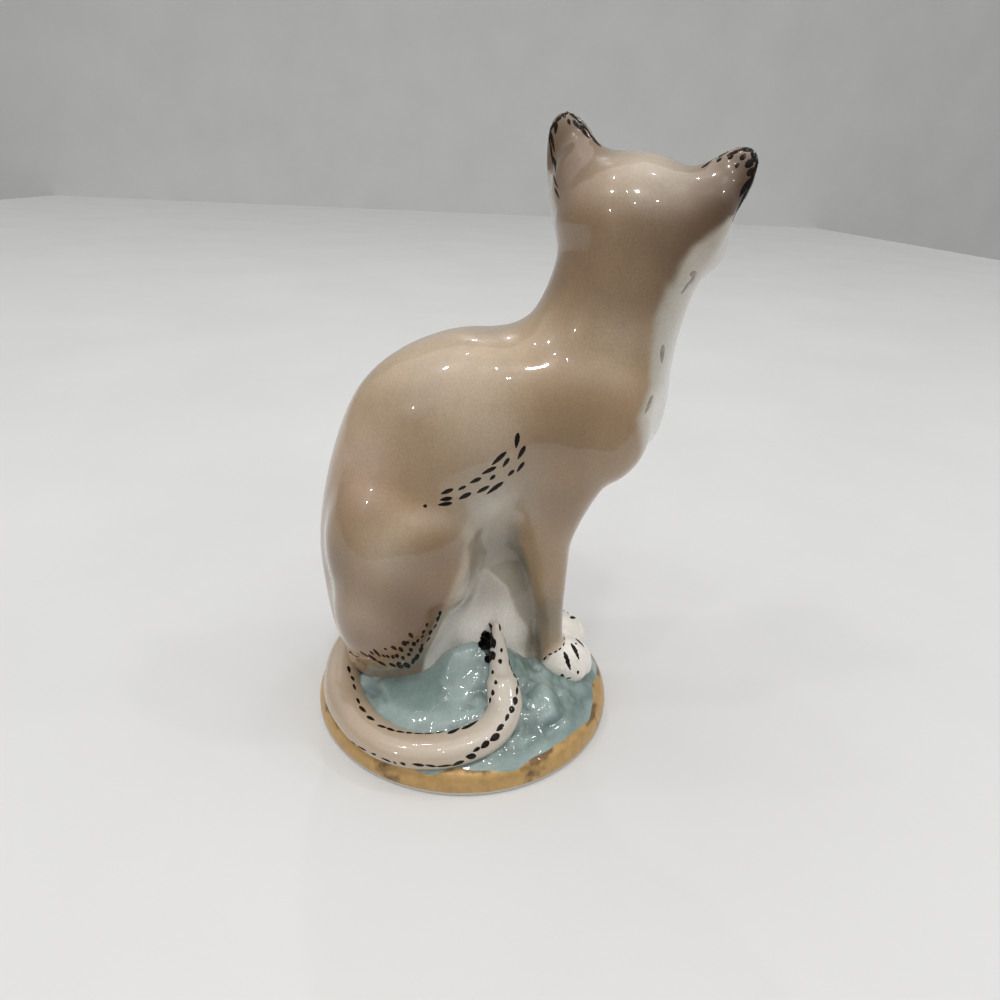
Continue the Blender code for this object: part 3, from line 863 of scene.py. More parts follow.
def paintEars(colours, hd):
    # pink hollows with black rims
    facing = (perVertex(catSkin, "normal") @ np.array(headMatrix().to_3x3()))[:, 1]
    aside, up = np.abs(hd[:, 0]), hd[:, 2]
    hollow = fade("hollowFacing", -facing) * fade("hollowFoot", up) * fade("hollowInside", aside)
    colours = covered(colours, hollow * paint["strengths"]["rose"], "rose")
    innerRim = fade("innerRimFoot", up) * fade("innerRim", aside)
    outerRim = fade("outerRimFoot", up) * fade("outerRim", aside)
    rims = fade("rimTurn", np.abs(facing)) * np.maximum(innerRim, outerRim)
    return covered(colours, rims * paint["strengths"]["earRim"], "ink")


def paintCat():
    co, hd = fromCrown(catSkin), inHead(catSkin)
    colours = sprayed(plainCoat(catSkin, "tan"), co, paint["coatSprays"])
    onHead = fade("headSprays", co[:, 2])[:, None]
    colours = colours * (1 - onHead) + sprayed(colours, hd, paint["headSprays"]) * onHead
    colours = paintPaws(paintWeb(colours, co), co)
    keepPaint(catSkin, paintEars(paintWhites(colours, co, hd), hd))


def paintTail():
    keepPaint(tailSkin, sprayed(plainCoat(tailSkin, "cream"), fromCrown(tailSkin), paint["tailSprays"]))


paintCat()
paintTail()
print("coat and tail painted")


# Materials


def feed(tree, socket, value):
    # gives a socket another one's value, a colour or a number
    if isinstance(value, bpy.types.NodeSocket):
        tree.links.new(value, socket)
    else:
        socket.default_value = (*value, 1) if isinstance(value, tuple) else value


def addNode(tree, kind, **settings):
    node = tree.nodes.new(kind)
    for key, value in settings.items():
        if hasattr(node, key):
            setattr(node, key, value)
        else:
            feed(tree, node.inputs[key.replace("_", " ")], value)
    return node


def valueMath(tree, operation, a, b):
    node = addNode(tree, "ShaderNodeMath", operation=operation)
    feed(tree, node.inputs[0], a)
    feed(tree, node.inputs[1], b)
    return node.outputs[0]


def mixed(tree, factor, under, over, blend="MIX"):
    mix = addNode(tree, "ShaderNodeMix", data_type="RGBA", blend_type=blend, Factor=factor)
    feed(tree, mix.inputs[6], under)
    feed(tree, mix.inputs[7], over)
    return mix.outputs[2]


def objectPlace(tree):
    return addNode(tree, "ShaderNodeTexCoord").outputs["Object"]


def noiseAt(tree, place, scale, detail, roughness=0.5):
    pattern = {"Vector": place, "Scale": scale, "Detail": detail, "Roughness": roughness}
    return addNode(tree, "ShaderNodeTexNoise", **pattern).outputs["Fac"]


def objectNoise(tree, *pattern):
    return noiseAt(tree, objectPlace(tree), *pattern)


def rampOf(tree, factor, *stops):
    # colour ramp from (place, colour) stops
    ramp = addNode(tree, "ShaderNodeValToRGB", Fac=factor)
    elements = ramp.color_ramp.elements
    while len(elements) < len(stops):
        elements.new(0.5)
    for element, (place, colour) in zip(elements, stops):
        element.position = place
        element.color = (*colour, 1)
    return ramp.outputs["Color"]


def belowEdge(tree, height, edge, softness):
    # 1 below this height, 0 above it
    limits = {"From_Min": edge - softness, "From_Max": edge + softness, "To_Min": 1.0, "To_Max": 0.0}
    mask = addNode(tree, "ShaderNodeMapRange", interpolation_type="SMOOTHSTEP", Value=height, **limits)
    return mask.outputs[0]


def unevenGroup(name, detail, roughness):
    # soft patches of thinner and thicker colour round 1, which a Stretch under 1 draws out upwards
    tree = bpy.data.node_groups.new(name, "ShaderNodeTree")
    for label in ("Scale", "Stretch", "Depth"):
        tree.interface.new_socket(label, in_out="INPUT", socket_type="NodeSocketFloat")
    tree.interface.new_socket("Shade", in_out="OUTPUT", socket_type="NodeSocketFloat")
    start, end = tree.nodes.new("NodeGroupInput"), tree.nodes.new("NodeGroupOutput")
    scale, depth = start.outputs["Scale"], start.outputs["Depth"]
    stretch = addNode(tree, "ShaderNodeCombineXYZ", X=1.0, Y=1.0, Z=start.outputs["Stretch"]).outputs[0]
    drawn = addNode(tree, "ShaderNodeMapping", Vector=objectPlace(tree), Scale=stretch).outputs[0]
    patches = noiseAt(tree, drawn, scale, detail, roughness)
    spread = addNode(tree, "ShaderNodeMapRange", Value=patches, From_Min=0.3, From_Max=0.7)
    feed(tree, spread.inputs["To Min"], valueMath(tree, "SUBTRACT", 1.0, depth))
    feed(tree, spread.inputs["To Max"], valueMath(tree, "ADD", 1.0, depth))
    feed(tree, end.inputs["Shade"], spread.outputs[0])
    return tree


grainGroup = unevenGroup("airbrushGrain", 3.0, 0.7)
cloudGroup = unevenGroup("brushedClouds", 4.0, 0.55)


def uneven(tree, group, scale, stretch, depth):
    node = addNode(tree, "ShaderNodeGroup", node_tree=group, Scale=scale, Stretch=stretch, Depth=depth)
    return node.outputs["Shade"]


def newMaterial(name, colour, roughness=0.3, coat=1.0):
    material = bpy.data.materials.new(name)
    material.use_nodes = True
    shader = material.node_tree.nodes["Principled BSDF"]
    shader.inputs["Base Color"].default_value = (*colour, 1)
    shader.inputs["Roughness"].default_value = roughness
    shader.inputs["Coat Weight"].default_value = coat
    shader.inputs["Coat Roughness"].default_value = 0.03
    return material, material.node_tree, shader


def dress(obj, material):
    obj.data.materials.clear()
    obj.data.materials.append(material)


glaze = {
    # scale and stretch of each pattern
    "grain": (2600.0, 1.0),
    "clouds": (110.0, 0.8),
    "streaks": (520.0, 0.25),
    "streakShare": 0.35,  # depth of the streaks, as a share of the clouds' depth
    "warmth": (70.0, 0.5, 0.5),  # scale, stretch, depth
    "warmTint": (1.0, 0.95, 0.90),
    # depth of grain and clouds
    "coat": (0.12, 0.08),
    "cream": (0.05, 0.04),
}


def paintedGlaze(name, grainDepth, cloudDepth):
    # clear glaze over the airbrushed paint
    material, tree, shader = newMaterial(name, (1, 1, 1))
    colour = addNode(tree, "ShaderNodeVertexColor", layer_name="paint").outputs["Color"]
    streakDepth = cloudDepth * glaze["streakShare"]
    for shade in (
        uneven(tree, grainGroup, *glaze["grain"], grainDepth),
        uneven(tree, cloudGroup, *glaze["clouds"], cloudDepth),
        uneven(tree, cloudGroup, *glaze["streaks"], streakDepth),
    ):
        colour = mixed(tree, 1.0, colour, shade, "MULTIPLY")
    warmth = valueMath(tree, "SUBTRACT", uneven(tree, cloudGroup, *glaze["warmth"]), 0.5)
    colour = mixed(tree, warmth, colour, glaze["warmTint"], "MULTIPLY")
    feed(tree, shader.inputs["Base Color"], colour)
    return material


ground = {
    "thin": (0.33, 0.43, 0.415),
    "even": (0.165, 0.235, 0.22),
    "pooled": (0.09, 0.145, 0.138),
    "gold": (0.52, 0.325, 0.12),
    "worn": (0.19, 0.11, 0.04),
    "clay": (0.62, 0.58, 0.52),
    "rampPlaces": (0.25, 0.5, 0.95),  # pooled, even, thin
    # scale, detail and roughness of each pattern
    "pools": (150.0, 5.0, 0.6),
    "edgeWave": (95.0, 1.0),
    "wear": (150.0, 3.0, 0.6),
    "streaks": (420.0, 4.0, 0.65),
    "poolDepth": 0.7,
    "grain": (2200.0, 1.0, 0.10),  # scale, stretch, depth
    "wornFrom": 0.58,
    "wornTo": 0.70,
    "wearShift": 0.12,
    "brimWear": -0.14,  # the gilding is whole along its upper edge
    "streakPlaces": (0.35, 0.65),
    "streakShades": (0.86, 1.1),
    # heights and reaches in metres
    "goldEdge": 0.0051,
    "goldWave": 0.0022,
    "goldSoftness": 0.00008,
    "brim": 0.0008,
    "footEdge": 0.0010,
    "footSoftness": 0.0001,
    "goldMetallic": 0.35,
    "goldCoatLoss": 0.75,
    "roughness": (0.30, 0.08, 0.4),  # of the glaze, and what gilding and bare foot add
}


def gilding(tree, height):
    # gold, streaked by the brush and rubbed through to a darker ground
    brim = belowEdge(tree, height, ground["goldEdge"] - ground["brim"], ground["brim"])
    brim = valueMath(tree, "MULTIPLY", brim, ground["brimWear"])
    rubbed = valueMath(tree, "ADD", objectNoise(tree, *ground["wear"]), brim)
    rubbed = valueMath(tree, "ADD", rubbed, ground["wearShift"])
    worn = rampOf(tree, rubbed, (ground["wornFrom"], (0, 0, 0)), (ground["wornTo"], (1, 1, 1)))
    stops = ((place, (shade,) * 3) for place, shade in zip(ground["streakPlaces"], ground["streakShades"]))
    streaks = rampOf(tree, objectNoise(tree, *ground["streaks"]), *stops)
    return mixed(tree, 1.0, mixed(tree, worn, ground["gold"], ground["worn"]), streaks, "MULTIPLY")


def groundGlaze():
    # blue-green glaze that pools in the hollows, a rubbed gilded band below it, a bare foot
    material, tree, shader = newMaterial("groundGlaze", (1, 1, 1))

    def maths(operation, a, b):
        return valueMath(tree, operation, a, b)

    z = addNode(tree, "ShaderNodeSeparateXYZ", Vector=objectPlace(tree)).outputs["Z"]
    thin = addNode(tree, "ShaderNodeAttribute", attribute_name="thinGlaze").outputs["Fac"]
    pools = maths("MULTIPLY", objectNoise(tree, *ground["pools"]), ground["poolDepth"])
    pooling = maths("SUBTRACT", maths("ADD", thin, pools), ground["poolDepth"] / 2)
    tones = (ground[tone] for tone in ("pooled", "even", "thin"))
    glazeColour = rampOf(tree, pooling, *zip(ground["rampPlaces"], tones))
    glazeColour = mixed(tree, 1.0, glazeColour, uneven(tree, grainGroup, *ground["grain"]), "MULTIPLY")
    wave = maths("SUBTRACT", objectNoise(tree, *ground["edgeWave"]), 0.5)
    height = maths("ADD", z, maths("MULTIPLY", wave, ground["goldWave"] * 2))
    gold = belowEdge(tree, height, ground["goldEdge"], ground["goldSoftness"])
    foot = belowEdge(tree, z, ground["footEdge"], ground["footSoftness"])
    colour = mixed(tree, foot, mixed(tree, gold, glazeColour, gilding(tree, height)), ground["clay"])
    plain, onGold, onFoot = ground["roughness"]
    rough = maths("ADD", maths("MULTIPLY", gold, onGold), plain)
    metallic = maths("MULTIPLY", maths("SUBTRACT", gold, foot), ground["goldMetallic"])
    coat = maths("SUBTRACT", 1.0, maths("MULTIPLY", gold, ground["goldCoatLoss"]))
    feed(tree, shader.inputs["Base Color"], colour)
    feed(tree, shader.inputs["Metallic"], metallic)
    feed(tree, shader.inputs["Coat Weight"], coat)
    feed(tree, shader.inputs["Roughness"], maths("ADD", rough, maths("MULTIPLY", foot, onFoot)))
    return material


dress(catSkin, paintedGlaze("coatGlaze", *glaze["coat"]))
dress(tailSkin, paintedGlaze("creamGlaze", *glaze["cream"]))
dress(moundSkin, groundGlaze())
print("glazes mixed")


# Enamel strokes, laid on the skins as thin domed leaves

strokeSetup = {
    "stretch": 1.15,
    # share of the outline, height in mm
    "sections": ((1.0, -0.06), (0.92, 0.015), (0.62, 0.035), (0.3, 0.042), (0.06, 0.045)),
    "fullness": 1.2,  # how much wider than written the loaded brush leaves them
    "tailFullness": 1.12,  # fuller still on the tail and its tuft
    "tuftFullness": 1.2,
    "tuftLift": 0.06,
    "leaf": (0.3, 0.35, 12),  # taper from start to end, how pointed the ends are, points round it
    "almond": (0.0, 0.6, 20),
    "enamelRamp": (0.45, 0.75),  # noise values of thick and thin enamel
    "enamelNoise": (900.0, 3.0, 0.6),  # scale, detail, roughness
    "reaches": (0.10, 0.24, 0.004),  # from the eye in metres, tried where a stroke lies past the outline
}

# strokes in pixels of the photograph: from x, y, to x, y, and width in mm
seenStrokes = {
    # flank, hock and paw have the same strokes on the left side
    "flank": (
        (518, 433, 516, 448, 0.8), (525, 446, 518, 459, 0.8), (506, 452, 492, 465, 0.8),
        (509, 458, 503, 467, 0.7), (496, 467, 482, 474, 0.8), (514, 470, 508, 476, 0.7),
        (495, 475, 490, 480, 0.7), (481, 478, 470, 483, 0.8), (503, 482, 487, 494, 0.9),
        (489, 486, 477, 493, 0.8), (485, 488, 478, 492, 0.7), (453, 489, 441, 494, 0.8),
        (471, 493, 459, 499, 0.9), (452, 498, 440, 500, 0.8), (452, 503, 438, 505, 0.7),
        (427, 506, 423, 506, 0.6), (524, 462, 517, 472, 0.7), (466, 486, 458, 490, 0.6),
    ),
    "hock": (
        (440, 611, 440, 616, 0.6), (438.5, 616, 437.5, 622, 0.7), (436.5, 624, 433.5, 629, 0.6),
        (427, 623, 427, 627, 0.6), (431, 630, 430, 635, 0.9), (424, 630, 423, 634, 0.7),
        (423, 635, 422, 638, 0.6), (430, 637, 426.5, 642, 0.6), (418, 639, 417.5, 643, 0.6),
        (409, 633, 413, 638, 0.7), (413, 642, 415, 646, 0.8), (422, 644, 422, 647, 0.7),
        (421, 647, 421, 653, 1.0), (403, 641, 406, 646, 0.9), (407, 641, 408.5, 644, 0.6),
        (410, 648, 412, 652, 0.7), (417, 654, 417, 660, 1.0), (413.5, 658, 413, 664, 0.9),
        (408, 653, 410, 656, 0.7), (399, 647, 403, 652, 0.7), (391.5, 646, 396.5, 650, 0.7),
        (384, 648, 387, 650, 0.4), (402, 656, 404, 660, 0.6), (396, 654, 398, 658, 0.8),
        (392, 655, 394, 659, 0.6), (386, 655, 389.5, 658, 0.6), (382.5, 654.5, 385, 657.5, 0.5),
        (373.5, 649, 380.5, 657, 0.6), (368.5, 654.5, 377.5, 661.5, 0.8), (378, 661, 386.5, 666, 0.8),
        (389.5, 663, 396, 667, 0.8), (398, 662, 402, 668.5, 1.1), (404.5, 662.5, 409.5, 668, 1.1),
        (360, 651.5, 369, 657, 0.6), (349, 652, 359, 656, 0.8), (370, 651, 374, 655, 0.5),
    ),
    "paw": (
        (564, 652, 570.5, 670, 0.9), (571, 643.5, 579, 659.5, 0.9), (575.5, 638.5, 584, 647, 0.8),
        (575.5, 643, 576.5, 644.5, 0.5), (543.5, 660, 546.5, 656.5, 0.4), (548.5, 655, 552.5, 653.2, 0.35),
        (554, 652.5, 557.5, 650.5, 0.35), (558.5, 650, 561.5, 647.5, 0.35), (563, 646, 564.5, 642, 0.35),
        (564, 640, 564, 636, 0.35), (542, 664, 546, 670, 0.8), (562.2, 674, 562.2, 679, 0.8),
        (551.5, 674, 555, 675.5, 0.4), (567, 678.5, 571.5, 677.5, 0.4), (578, 670.5, 578, 674.5, 0.5),
    ),
    "ears": (
        (558, 113.5, 560, 120, 0.5), (553.5, 119, 555.5, 134, 0.8), (550.5, 130, 554.5, 152, 0.6),
        (551.5, 156, 555.5, 172, 0.6), (553.5, 175, 558, 188, 0.4), (554.5, 188, 559.5, 199, 0.4),
        (568, 119, 570, 125, 0.5), (573, 120, 580.5, 129.5, 0.6), (580, 125.5, 590, 139, 0.6),
        (592, 137, 601, 147, 0.5), (563, 112.5, 565, 118, 0.5), (701.5, 168, 712, 160, 0.5),
        (717, 162, 722, 156.5, 0.6), (728.5, 159, 733, 153.5, 0.8), (740.5, 160, 745.5, 153.5, 0.8),
        (745.5, 167, 755, 158, 1.1), (747, 175, 757, 167.5, 1.1), (740, 196.5, 755.5, 177, 1.0),
        (739, 214, 750, 199, 0.7), (732, 222.5, 739, 214, 0.5), (735, 168, 739, 163, 0.5),
        # black edges
        (549.5, 143, 550, 129, 0.5), (550, 131, 553, 117, 0.6), (552, 119, 560, 111.5, 0.7),
        (558, 112, 570, 113, 0.7), (568, 112, 579, 121, 0.6), (577, 119.5, 590, 133, 0.5),
        (588, 131, 601, 146, 0.4), (550, 141, 552.5, 164, 0.45), (712, 160, 728, 151.5, 0.45),
        (726, 152, 743, 149, 0.6), (741, 149, 754, 151, 0.8), (752, 150, 758.5, 160.5, 0.9),
        (758, 158, 758, 175, 0.9), (758, 173, 753, 194, 0.7), (754, 191, 741, 214, 0.5),
    ),
    # painted shade: grey lines on the white throat under the cheek's fold
    "throat": (
        (690, 273.5, 697, 274, 0.9), (696, 275, 689, 284, 1.1), (690, 282, 681, 294, 0.8),
        (663, 345, 662, 363, 1.1), (653, 396, 645, 413, 1.1),
    ),
    "tail": (
        (348, 666, 350, 673, 0.6), (351.5, 676, 354, 681, 0.6), (353.5, 684, 355.5, 690, 0.5),
        (357, 698, 359.5, 704, 0.5), (359.5, 706, 366, 712.5, 0.7), (367, 716, 374.5, 720.5, 0.7),
        (377.5, 725, 387, 728, 0.5), (387, 728, 395, 731, 0.6), (396, 731, 405, 732.5, 0.5),
        (406, 732.5, 413, 733, 0.6), (414, 733.2, 424, 733.6, 0.45), (424, 733.6, 435, 733, 0.45),
        (436, 733, 444.5, 731, 0.7), (448, 733.5, 459.5, 726, 1.1), (462, 729, 475.5, 715.5, 1.1),
        (480.5, 714, 487.5, 705.5, 0.8), (489.5, 703, 490.5, 697, 0.6), (493, 695.5, 492.5, 689.5, 0.7),
        (496, 684.5, 495.5, 680, 0.6), (493, 674, 492, 670, 0.7), (499.5, 624, 500, 631, 0.6),
        (501.5, 648, 501.5, 652.5, 0.5), (504, 635, 505.5, 643, 0.7), (507.5, 641.5, 508.5, 649, 0.7),
        (509.5, 650, 510.5, 657, 0.8), (509, 659, 509.5, 666, 0.6), (513, 663.5, 513.5, 671, 0.7),
        (499.5, 659, 501, 664, 0.7), (515.5, 672, 516.5, 678.5, 0.7), (517.5, 680, 518, 686.5, 0.6),
        (517.5, 687, 516.5, 695, 0.6), (516, 697, 514.5, 705, 1.0), (513, 706.5, 510.5, 713, 1.0),
        (508.5, 714, 505.5, 721, 0.6), (503.5, 724.5, 496.5, 731, 0.8), (499.5, 734.5, 490, 740.5, 1.1),
        (489, 741.5, 481, 748, 1.0), (480, 747.5, 473, 751.5, 0.6), (476, 756.5, 466, 756.5, 1.1),
        (464, 761, 452, 765.5, 0.9), (452, 765, 436, 766.5, 0.5), (436, 766.5, 425, 765, 0.5),
        (424, 765.5, 412, 764, 0.6), (405.5, 765, 400, 762.5, 0.6), (396.5, 764, 393, 761.5, 0.4),
        (391, 762, 381, 757.5, 0.45), (376, 755, 371, 753, 0.4), (366, 750.5, 357, 745.5, 0.45),
        (356, 745, 351.5, 741, 0.4), (348, 740, 343, 733, 0.35),
    ),
    "tuft": (
        (488.9, 624, 493.5, 639, 1.1), (481.5, 634.5, 492, 639.5, 1.3), (478.5, 644.5, 493.5, 645.5, 1.3),
        (487.5, 638.5, 491.5, 647, 1.4), (484.8, 659, 495, 654, 1.7), (492, 651.5, 494, 659.5, 1.1),
        (492.5, 638, 494, 648, 1.2), (480.5, 637.5, 488, 640, 1.0),
    ),
}


def makeLeaf(taper, point, count):
    # one brush stroke, from -1 to 1 along X, full at its start
    rings = []
    for share, height in strokeSetup["sections"]:
        ring = []
        for t in np.arange(count) * 2 * math.pi / count:
            along = math.cos(t) * share
            beside = math.sin(t) * abs(math.sin(t)) ** point * share * (1 - taper * math.cos(t))
            ring.append(Vector((along, beside, height)))
        rings.append(ring)
    return loft("leaf", rings)


def layStroke(leaf, tree, start, end, width, lift=0.0):
    # a copy of the leaf that follows the surface from start to end
    mesh = leaf.data.copy()
    obj = linked("stroke", mesh)
    middle = (start + end) / 2
    half = (end - start) / 2
    _, normal, _, _ = tree.find_nearest(middle)
    reach = width * strokeSetup["fullness"] / 2 * mm
    beside = normal.cross(half).normalized() * reach
    half = half.normalized() * max(half.length * strokeSetup["stretch"], reach)
    for vertex in mesh.vertices:
        along, across, height = vertex.co
        ground, up, _, _ = tree.find_nearest(middle + half * along + beside * across)
        vertex.co = ground + up * ((height + lift) * mm)
    return obj


def spotAt(px, py, tree):
    # the painted place at a pixel; past the outline it slips onto the nearest edge
    eye, ray = rayAt(px, py)
    place = tree.ray_cast(eye, ray)[0]
    if place is None:
        tries = (tree.find_nearest(eye + ray * reach) for reach in np.arange(*strokeSetup["reaches"]))
        place = min(tries, key=lambda found: found[3])[0]
    return tree.find_nearest(place)[0]


def mirrored(place):
    return Vector((2 * moundMiddle.x - place.x, place.y, place.z))


def layRows(leaf, tree, name, fuller=1.0, lift=0.0, bothSides=False):
    strokes = []
    for x1, y1, x2, y2, width in seenStrokes[name]:
        ends = [spotAt(x1, y1, tree), spotAt(x2, y2, tree)]
        strokes.append(layStroke(leaf, tree, *ends, width * fuller, lift))
        if bothSides:
            ends = [tree.find_nearest(mirrored(end))[0] for end in ends]
            strokes.append(layStroke(leaf, tree, *ends, width * fuller, lift))
    return strokes


# in the head's frame as seen from the front, on both sides: from x, z, to x, z, width, lift in mm
face = {
    "lids": ((2.6, 0.8, 8.6, 3.2, 3.7, 0.0),),
    "irises": ((3.3, 1.1, 8.0, 2.9, 2.7, 0.05),),
    "pupils": ((5.6, 0.9, 5.7, 3.2, 0.8, 0.10),),
    # painted highlight dots in the eyes
    "glints": ((5.1, 2.7, 5.5, 2.9, 0.5, 0.15),),
    "nose": ((-1.5, -2.5, 1.5, -2.5, 1.7, 0.0),),
    # mouth, dots of the whiskers, whiskers and the strokes of the brow
    "mouth": (
        (0.0, -3.4, 0.0, -5.2, 0.3, 0.0), (0.0, -5.1, 1.5, -6.2, 0.35, 0.0),
        (1.3, -6.1, 3.2, -5.9, 0.3, 0.0), (2.2, -3.9, 2.5, -4.0, 0.35, 0.0),
        (3.2, -3.5, 3.5, -3.6, 0.35, 0.0), (3.1, -4.7, 3.4, -4.8, 0.35, 0.0),
        (4.2, -4.2, 4.5, -4.3, 0.35, 0.0), (4.6, -3.2, 9.5, -1.2, 0.22, 0.0),
        (5.0, -4.3, 10.0, -3.8, 0.22, 0.0), (4.6, -5.4, 9.4, -6.4, 0.22, 0.0),
        (3.2, 4.6, 2.8, 7.0, 0.5, 0.0), (5.0, 5.1, 5.2, 7.6, 0.5, 0.0), (6.8, 5.0, 7.6, 7.2, 0.45, 0.0),
        (1.2, 6.2, 1.0, 8.8, 0.5, 0.0),
    ),
    "earDashes": (0.3, 0.45, 0.6, 0.75, 0.88),  # shares of the way from an ear's root to its tip
    "dashSpan": (0.08, 0.45),  # shares of the way from the ear's edge to its middle
    "dashWidth": 0.6,
}


def onFace(x, z, tree):
    # the surface of the head straight behind a place in front of the face
    matrix = headMatrix()
    start = matrix @ (Vector((x, -40, z)) * mm)
    place, _, _, _ = tree.ray_cast(start, matrix.to_3x3() @ Vector((0, 1, 0)))
    return place if place is not None else tree.find_nearest(matrix @ (Vector((x, 0, z)) * mm))[0]


def paintFace(leaf, almond, tree):
    marks = {"lids": [], "irises": [], "glints": [], "nose": []}
    for part in ("lids", "irises", "pupils", "glints", "nose", "mouth"):
        shape = almond if part in ("lids", "irises", "nose") else leaf
        strokes = marks[part if part in marks else "lids"]
        for x1, z1, x2, z2, width, lift in face[part]:
            for side in (1,) if part == "nose" else (-1, 1):
                start, end = onFace(side * x1, z1, tree), onFace(side * x2, z2, tree)
                strokes.append(layStroke(shape, tree, start, end, width, lift))
    outer, inner = face["dashSpan"]
    for side, (innerRoot, outerRoot, tip) in head["ears"].items():
        middle = (Vector(innerRoot) + Vector(outerRoot) + 2 * Vector(tip)) / 4
        for root in (innerRoot, outerRoot):
            for share in face["earDashes"]:
                edge = Vector(root).lerp(Vector(tip), share).lerp(middle, outer)
                spots = (edge, edge.lerp(middle, inner))
                start, end = (onFace(side * spot.x, spot.z, tree) for spot in spots)
                marks["lids"].append(layStroke(leaf, tree, start, end, face["dashWidth"]))
    return marks


# overglaze colours: thick, thin, coat, specular
enamels = {
    "blackEnamel": ((0.006, 0.0055, 0.006), (0.03, 0.018, 0.012), 0.35, 0.0),
    # grey for the painted shade lines on the throat
    "shadeGreyEnamel": ((0.24, 0.20, 0.16), (0.38, 0.34, 0.29), 1.0, 0.5),
    "greenEnamel": ((0.22, 0.30, 0.06), (0.42, 0.46, 0.12), 1.0, 0.5),
    "pinkEnamel": ((0.55, 0.22, 0.19), (0.65, 0.34, 0.29), 1.0, 0.5),
    # white of the painted highlight dots in the eyes
    "glintWhiteEnamel": ((0.85, 0.85, 0.83), (0.75, 0.75, 0.73), 1.0, 0.5),
}


def enamel(name):
    # turns from thick to thin as the brush runs dry
    thick, thin, coat, specular = enamels[name]
    material, tree, shader = newMaterial(name, thick, roughness=0.5, coat=coat)
    shader.inputs["Specular IOR Level"].default_value = specular
    dryness = objectNoise(tree, *strokeSetup["enamelNoise"])
    colour = rampOf(tree, dryness, *zip(strokeSetup["enamelRamp"], (thick, thin)))
    feed(tree, shader.inputs["Base Color"], colour)
    return material


def makeStrokes():
    leaf, almond = makeLeaf(*strokeSetup["leaf"]), makeLeaf(*strokeSetup["almond"])
    catTree, tailTree, tipTree = treeOf(catSkin), treeOf(tailSkin), treeOf(catSkin, moundSkin, tailSkin)
    onCat = []
    for name in ("flank", "hock", "paw"):
        onCat += layRows(leaf, catTree, name, bothSides=True)
    onCat += layRows(leaf, catTree, "ears")
    onTail = layRows(leaf, tailTree, "tail", strokeSetup["tailFullness"])
    onTail += layRows(leaf, tipTree, "tuft", strokeSetup["tuftFullness"], strokeSetup["tuftLift"])
    marks = paintFace(leaf, almond, catTree)
    black = enamel("blackEnamel")
    pieces = (
        ("coatStrokes", onCat + marks["lids"], black, "coat_glaze"),
        ("tailStrokes", onTail, black, "cream_glaze"),
        # grey painted shade lines on the throat
        ("throatShadeStrokes", layRows(leaf, catTree, "throat"), enamel("shadeGreyEnamel"), "coat_glaze"),
        ("irises", marks["irises"], enamel("greenEnamel"), "coat_glaze"),
        ("nose", marks["nose"], enamel("pinkEnamel"), "coat_glaze"),
        ("eyeGlints", marks["glints"], enamel("glintWhiteEnamel"), "coat_glaze"),
    )
    for shape in (leaf, almond):
        bpy.data.objects.remove(shape)
    count = 0
    for name, strokes, material, slotName in pieces:
        piece = joinPieces(strokes, name)
        dress(piece, material)
        piece.data.shade_smooth()
        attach(piece, "root")
        count += len(piece.data.vertices)
    return count


print("strokes painted:", makeStrokes(), "vertices")

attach(catSkin, "root")
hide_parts("body", "head", "ear_left", "ear_right", "foreleg_left", "foreleg_right")
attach(moundSkin, "root")
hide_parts("mound")
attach(tailSkin, "root")
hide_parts("tail")


# Studio

studio = {
    "floorColour": (0.695, 0.695, 0.695),
    "backdropColour": (0.70, 0.715, 0.71),
    "skyColour": (1.0, 0.99, 0.97),
    "skyTop": 1.15,
    "skyHorizon": 0.28,
    "floorNear": -0.092,  # the floor ends here on the camera's side, in metres
    "floorFar": 1.8,
    "skySpan": (0.05, 1.0),  # how high the sky begins to brighten and where it is full
    "backdropSize": 4.0,
    "backdropMiddle": 1.0,
    "paintClouds": (9.0, 1.0, 0.03),  # scale, stretch and depth of the wall paint
    "lampTarget": (0, 0, 0.06),
    "lampDistance": 0.9,
    # lamps by direction: azimuth from +X and elevation in degrees, power in watts, size in metres
    "lamps": (
        (-175, 67, 0.75, 0.075),
        (105, 60, 0.45, 0.05),
        (-95, 54, 0.45, 0.05),
        (131, 25, 0.25, 0.028),
        (5, 43, 0.3, 0.028),
        (150, 64, 0.25, 0.028),
        (170, 48, 0.2, 0.028),
        (-150, 52, 0.2, 0.028),
        (60, 70, 0.2, 0.028),
        (-60, 72, 0.2, 0.028),
        (-120, 38, 0.15, 0.028),
    ),
}


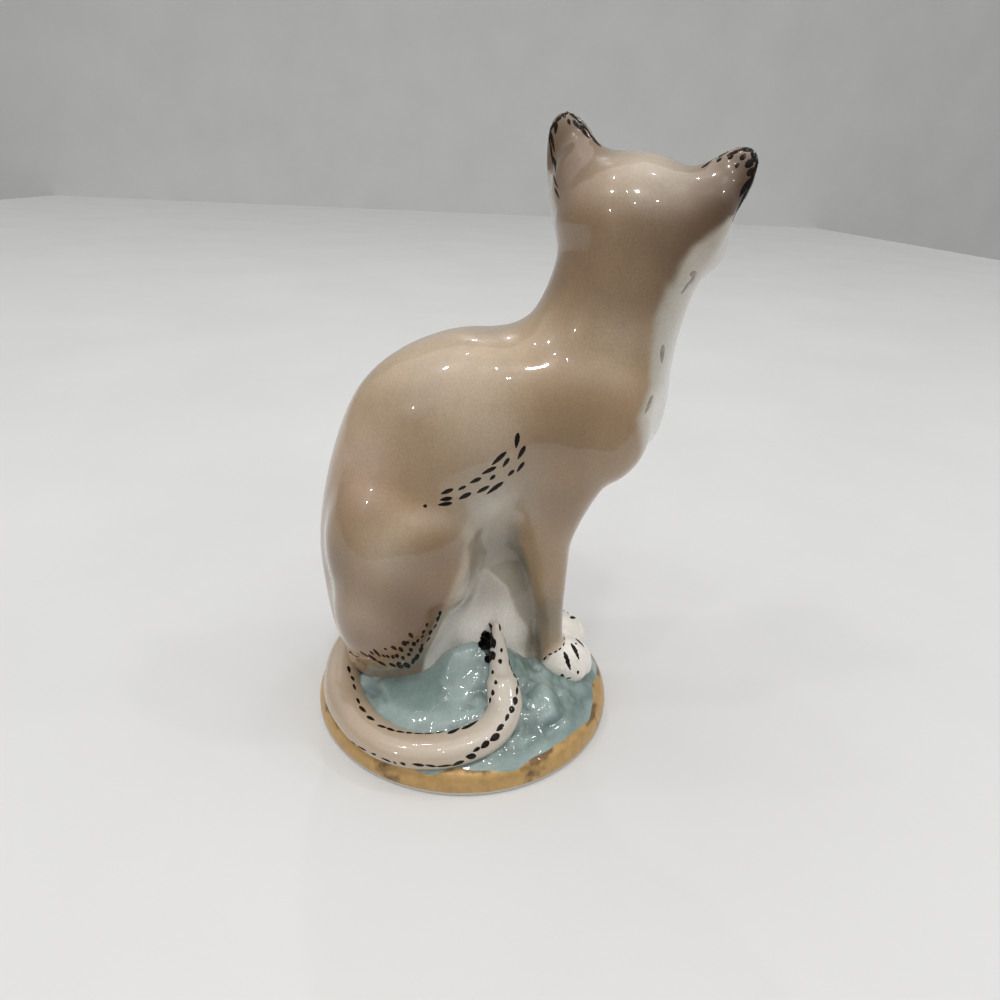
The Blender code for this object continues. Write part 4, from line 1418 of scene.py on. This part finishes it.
def makeSky():
    # brightest overhead, dim at the level of the eye
    world = bpy.data.worlds.new("studio")
    world.use_nodes = True
    tree = world.node_tree
    direction = addNode(tree, "ShaderNodeTexCoord").outputs["Generated"]
    height = addNode(tree, "ShaderNodeSeparateXYZ", Vector=direction).outputs["Z"]
    low, high = studio["skySpan"]
    limits = {"From_Min": low, "From_Max": high, "To_Min": studio["skyHorizon"], "To_Max": studio["skyTop"]}
    rise = addNode(tree, "ShaderNodeMapRange", interpolation_type="SMOOTHSTEP", Value=height, **limits)
    feed(tree, tree.nodes["Background"].inputs["Color"], studio["skyColour"])
    feed(tree, tree.nodes["Background"].inputs["Strength"], rise.outputs[0])
    return world


def makeLamp(name, azimuth, elevation, power, size):
    around, up = math.radians(azimuth), math.radians(elevation)
    direction = Vector((math.cos(around) * math.cos(up), math.sin(around) * math.cos(up), math.sin(up)))
    data = bpy.data.lights.new(name, "AREA")
    data.shape = "DISK"
    data.size = size
    data.energy = power
    lamp = linked(name, data)
    lamp.location = Vector(studio["lampTarget"]) + direction * studio["lampDistance"]
    lamp.rotation_euler = (-direction).to_track_quat("-Z", "Y").to_euler()


def makeSurface(name, size, location, rotation, colour, roughness):
    # a plane in slightly uneven wall paint
    deselectAll()
    bpy.ops.mesh.primitive_plane_add(size=size, location=location, rotation=rotation)
    obj = bpy.context.object
    obj.name = name
    material, tree, shader = newMaterial(name + "Paint", colour, roughness, coat=0.0)
    clouds = uneven(tree, cloudGroup, *studio["paintClouds"])
    feed(tree, shader.inputs["Base Color"], mixed(tree, 1.0, colour, clouds, "MULTIPLY"))
    dress(obj, material)


def makeStudio():
    scene = bpy.context.scene
    scene.view_settings.view_transform = "Standard"
    scene.world = makeSky()
    near, far = studio["floorNear"], studio["floorFar"]
    place, upright = (far, 0, studio["backdropMiddle"]), (0, math.radians(-90), 0)
    makeSurface("floor", far - near, ((near + far) / 2, 0, 0), (0, 0, 0), studio["floorColour"], 0.5)
    makeSurface("backdrop", studio["backdropSize"], place, upright, studio["backdropColour"], 0.8)
    for number, lamp in enumerate(studio["lamps"], 1):
        makeLamp("lamp" + str(number), *lamp)


makeStudio()
print("studio lit:", len(studio["lamps"]), "lamps")
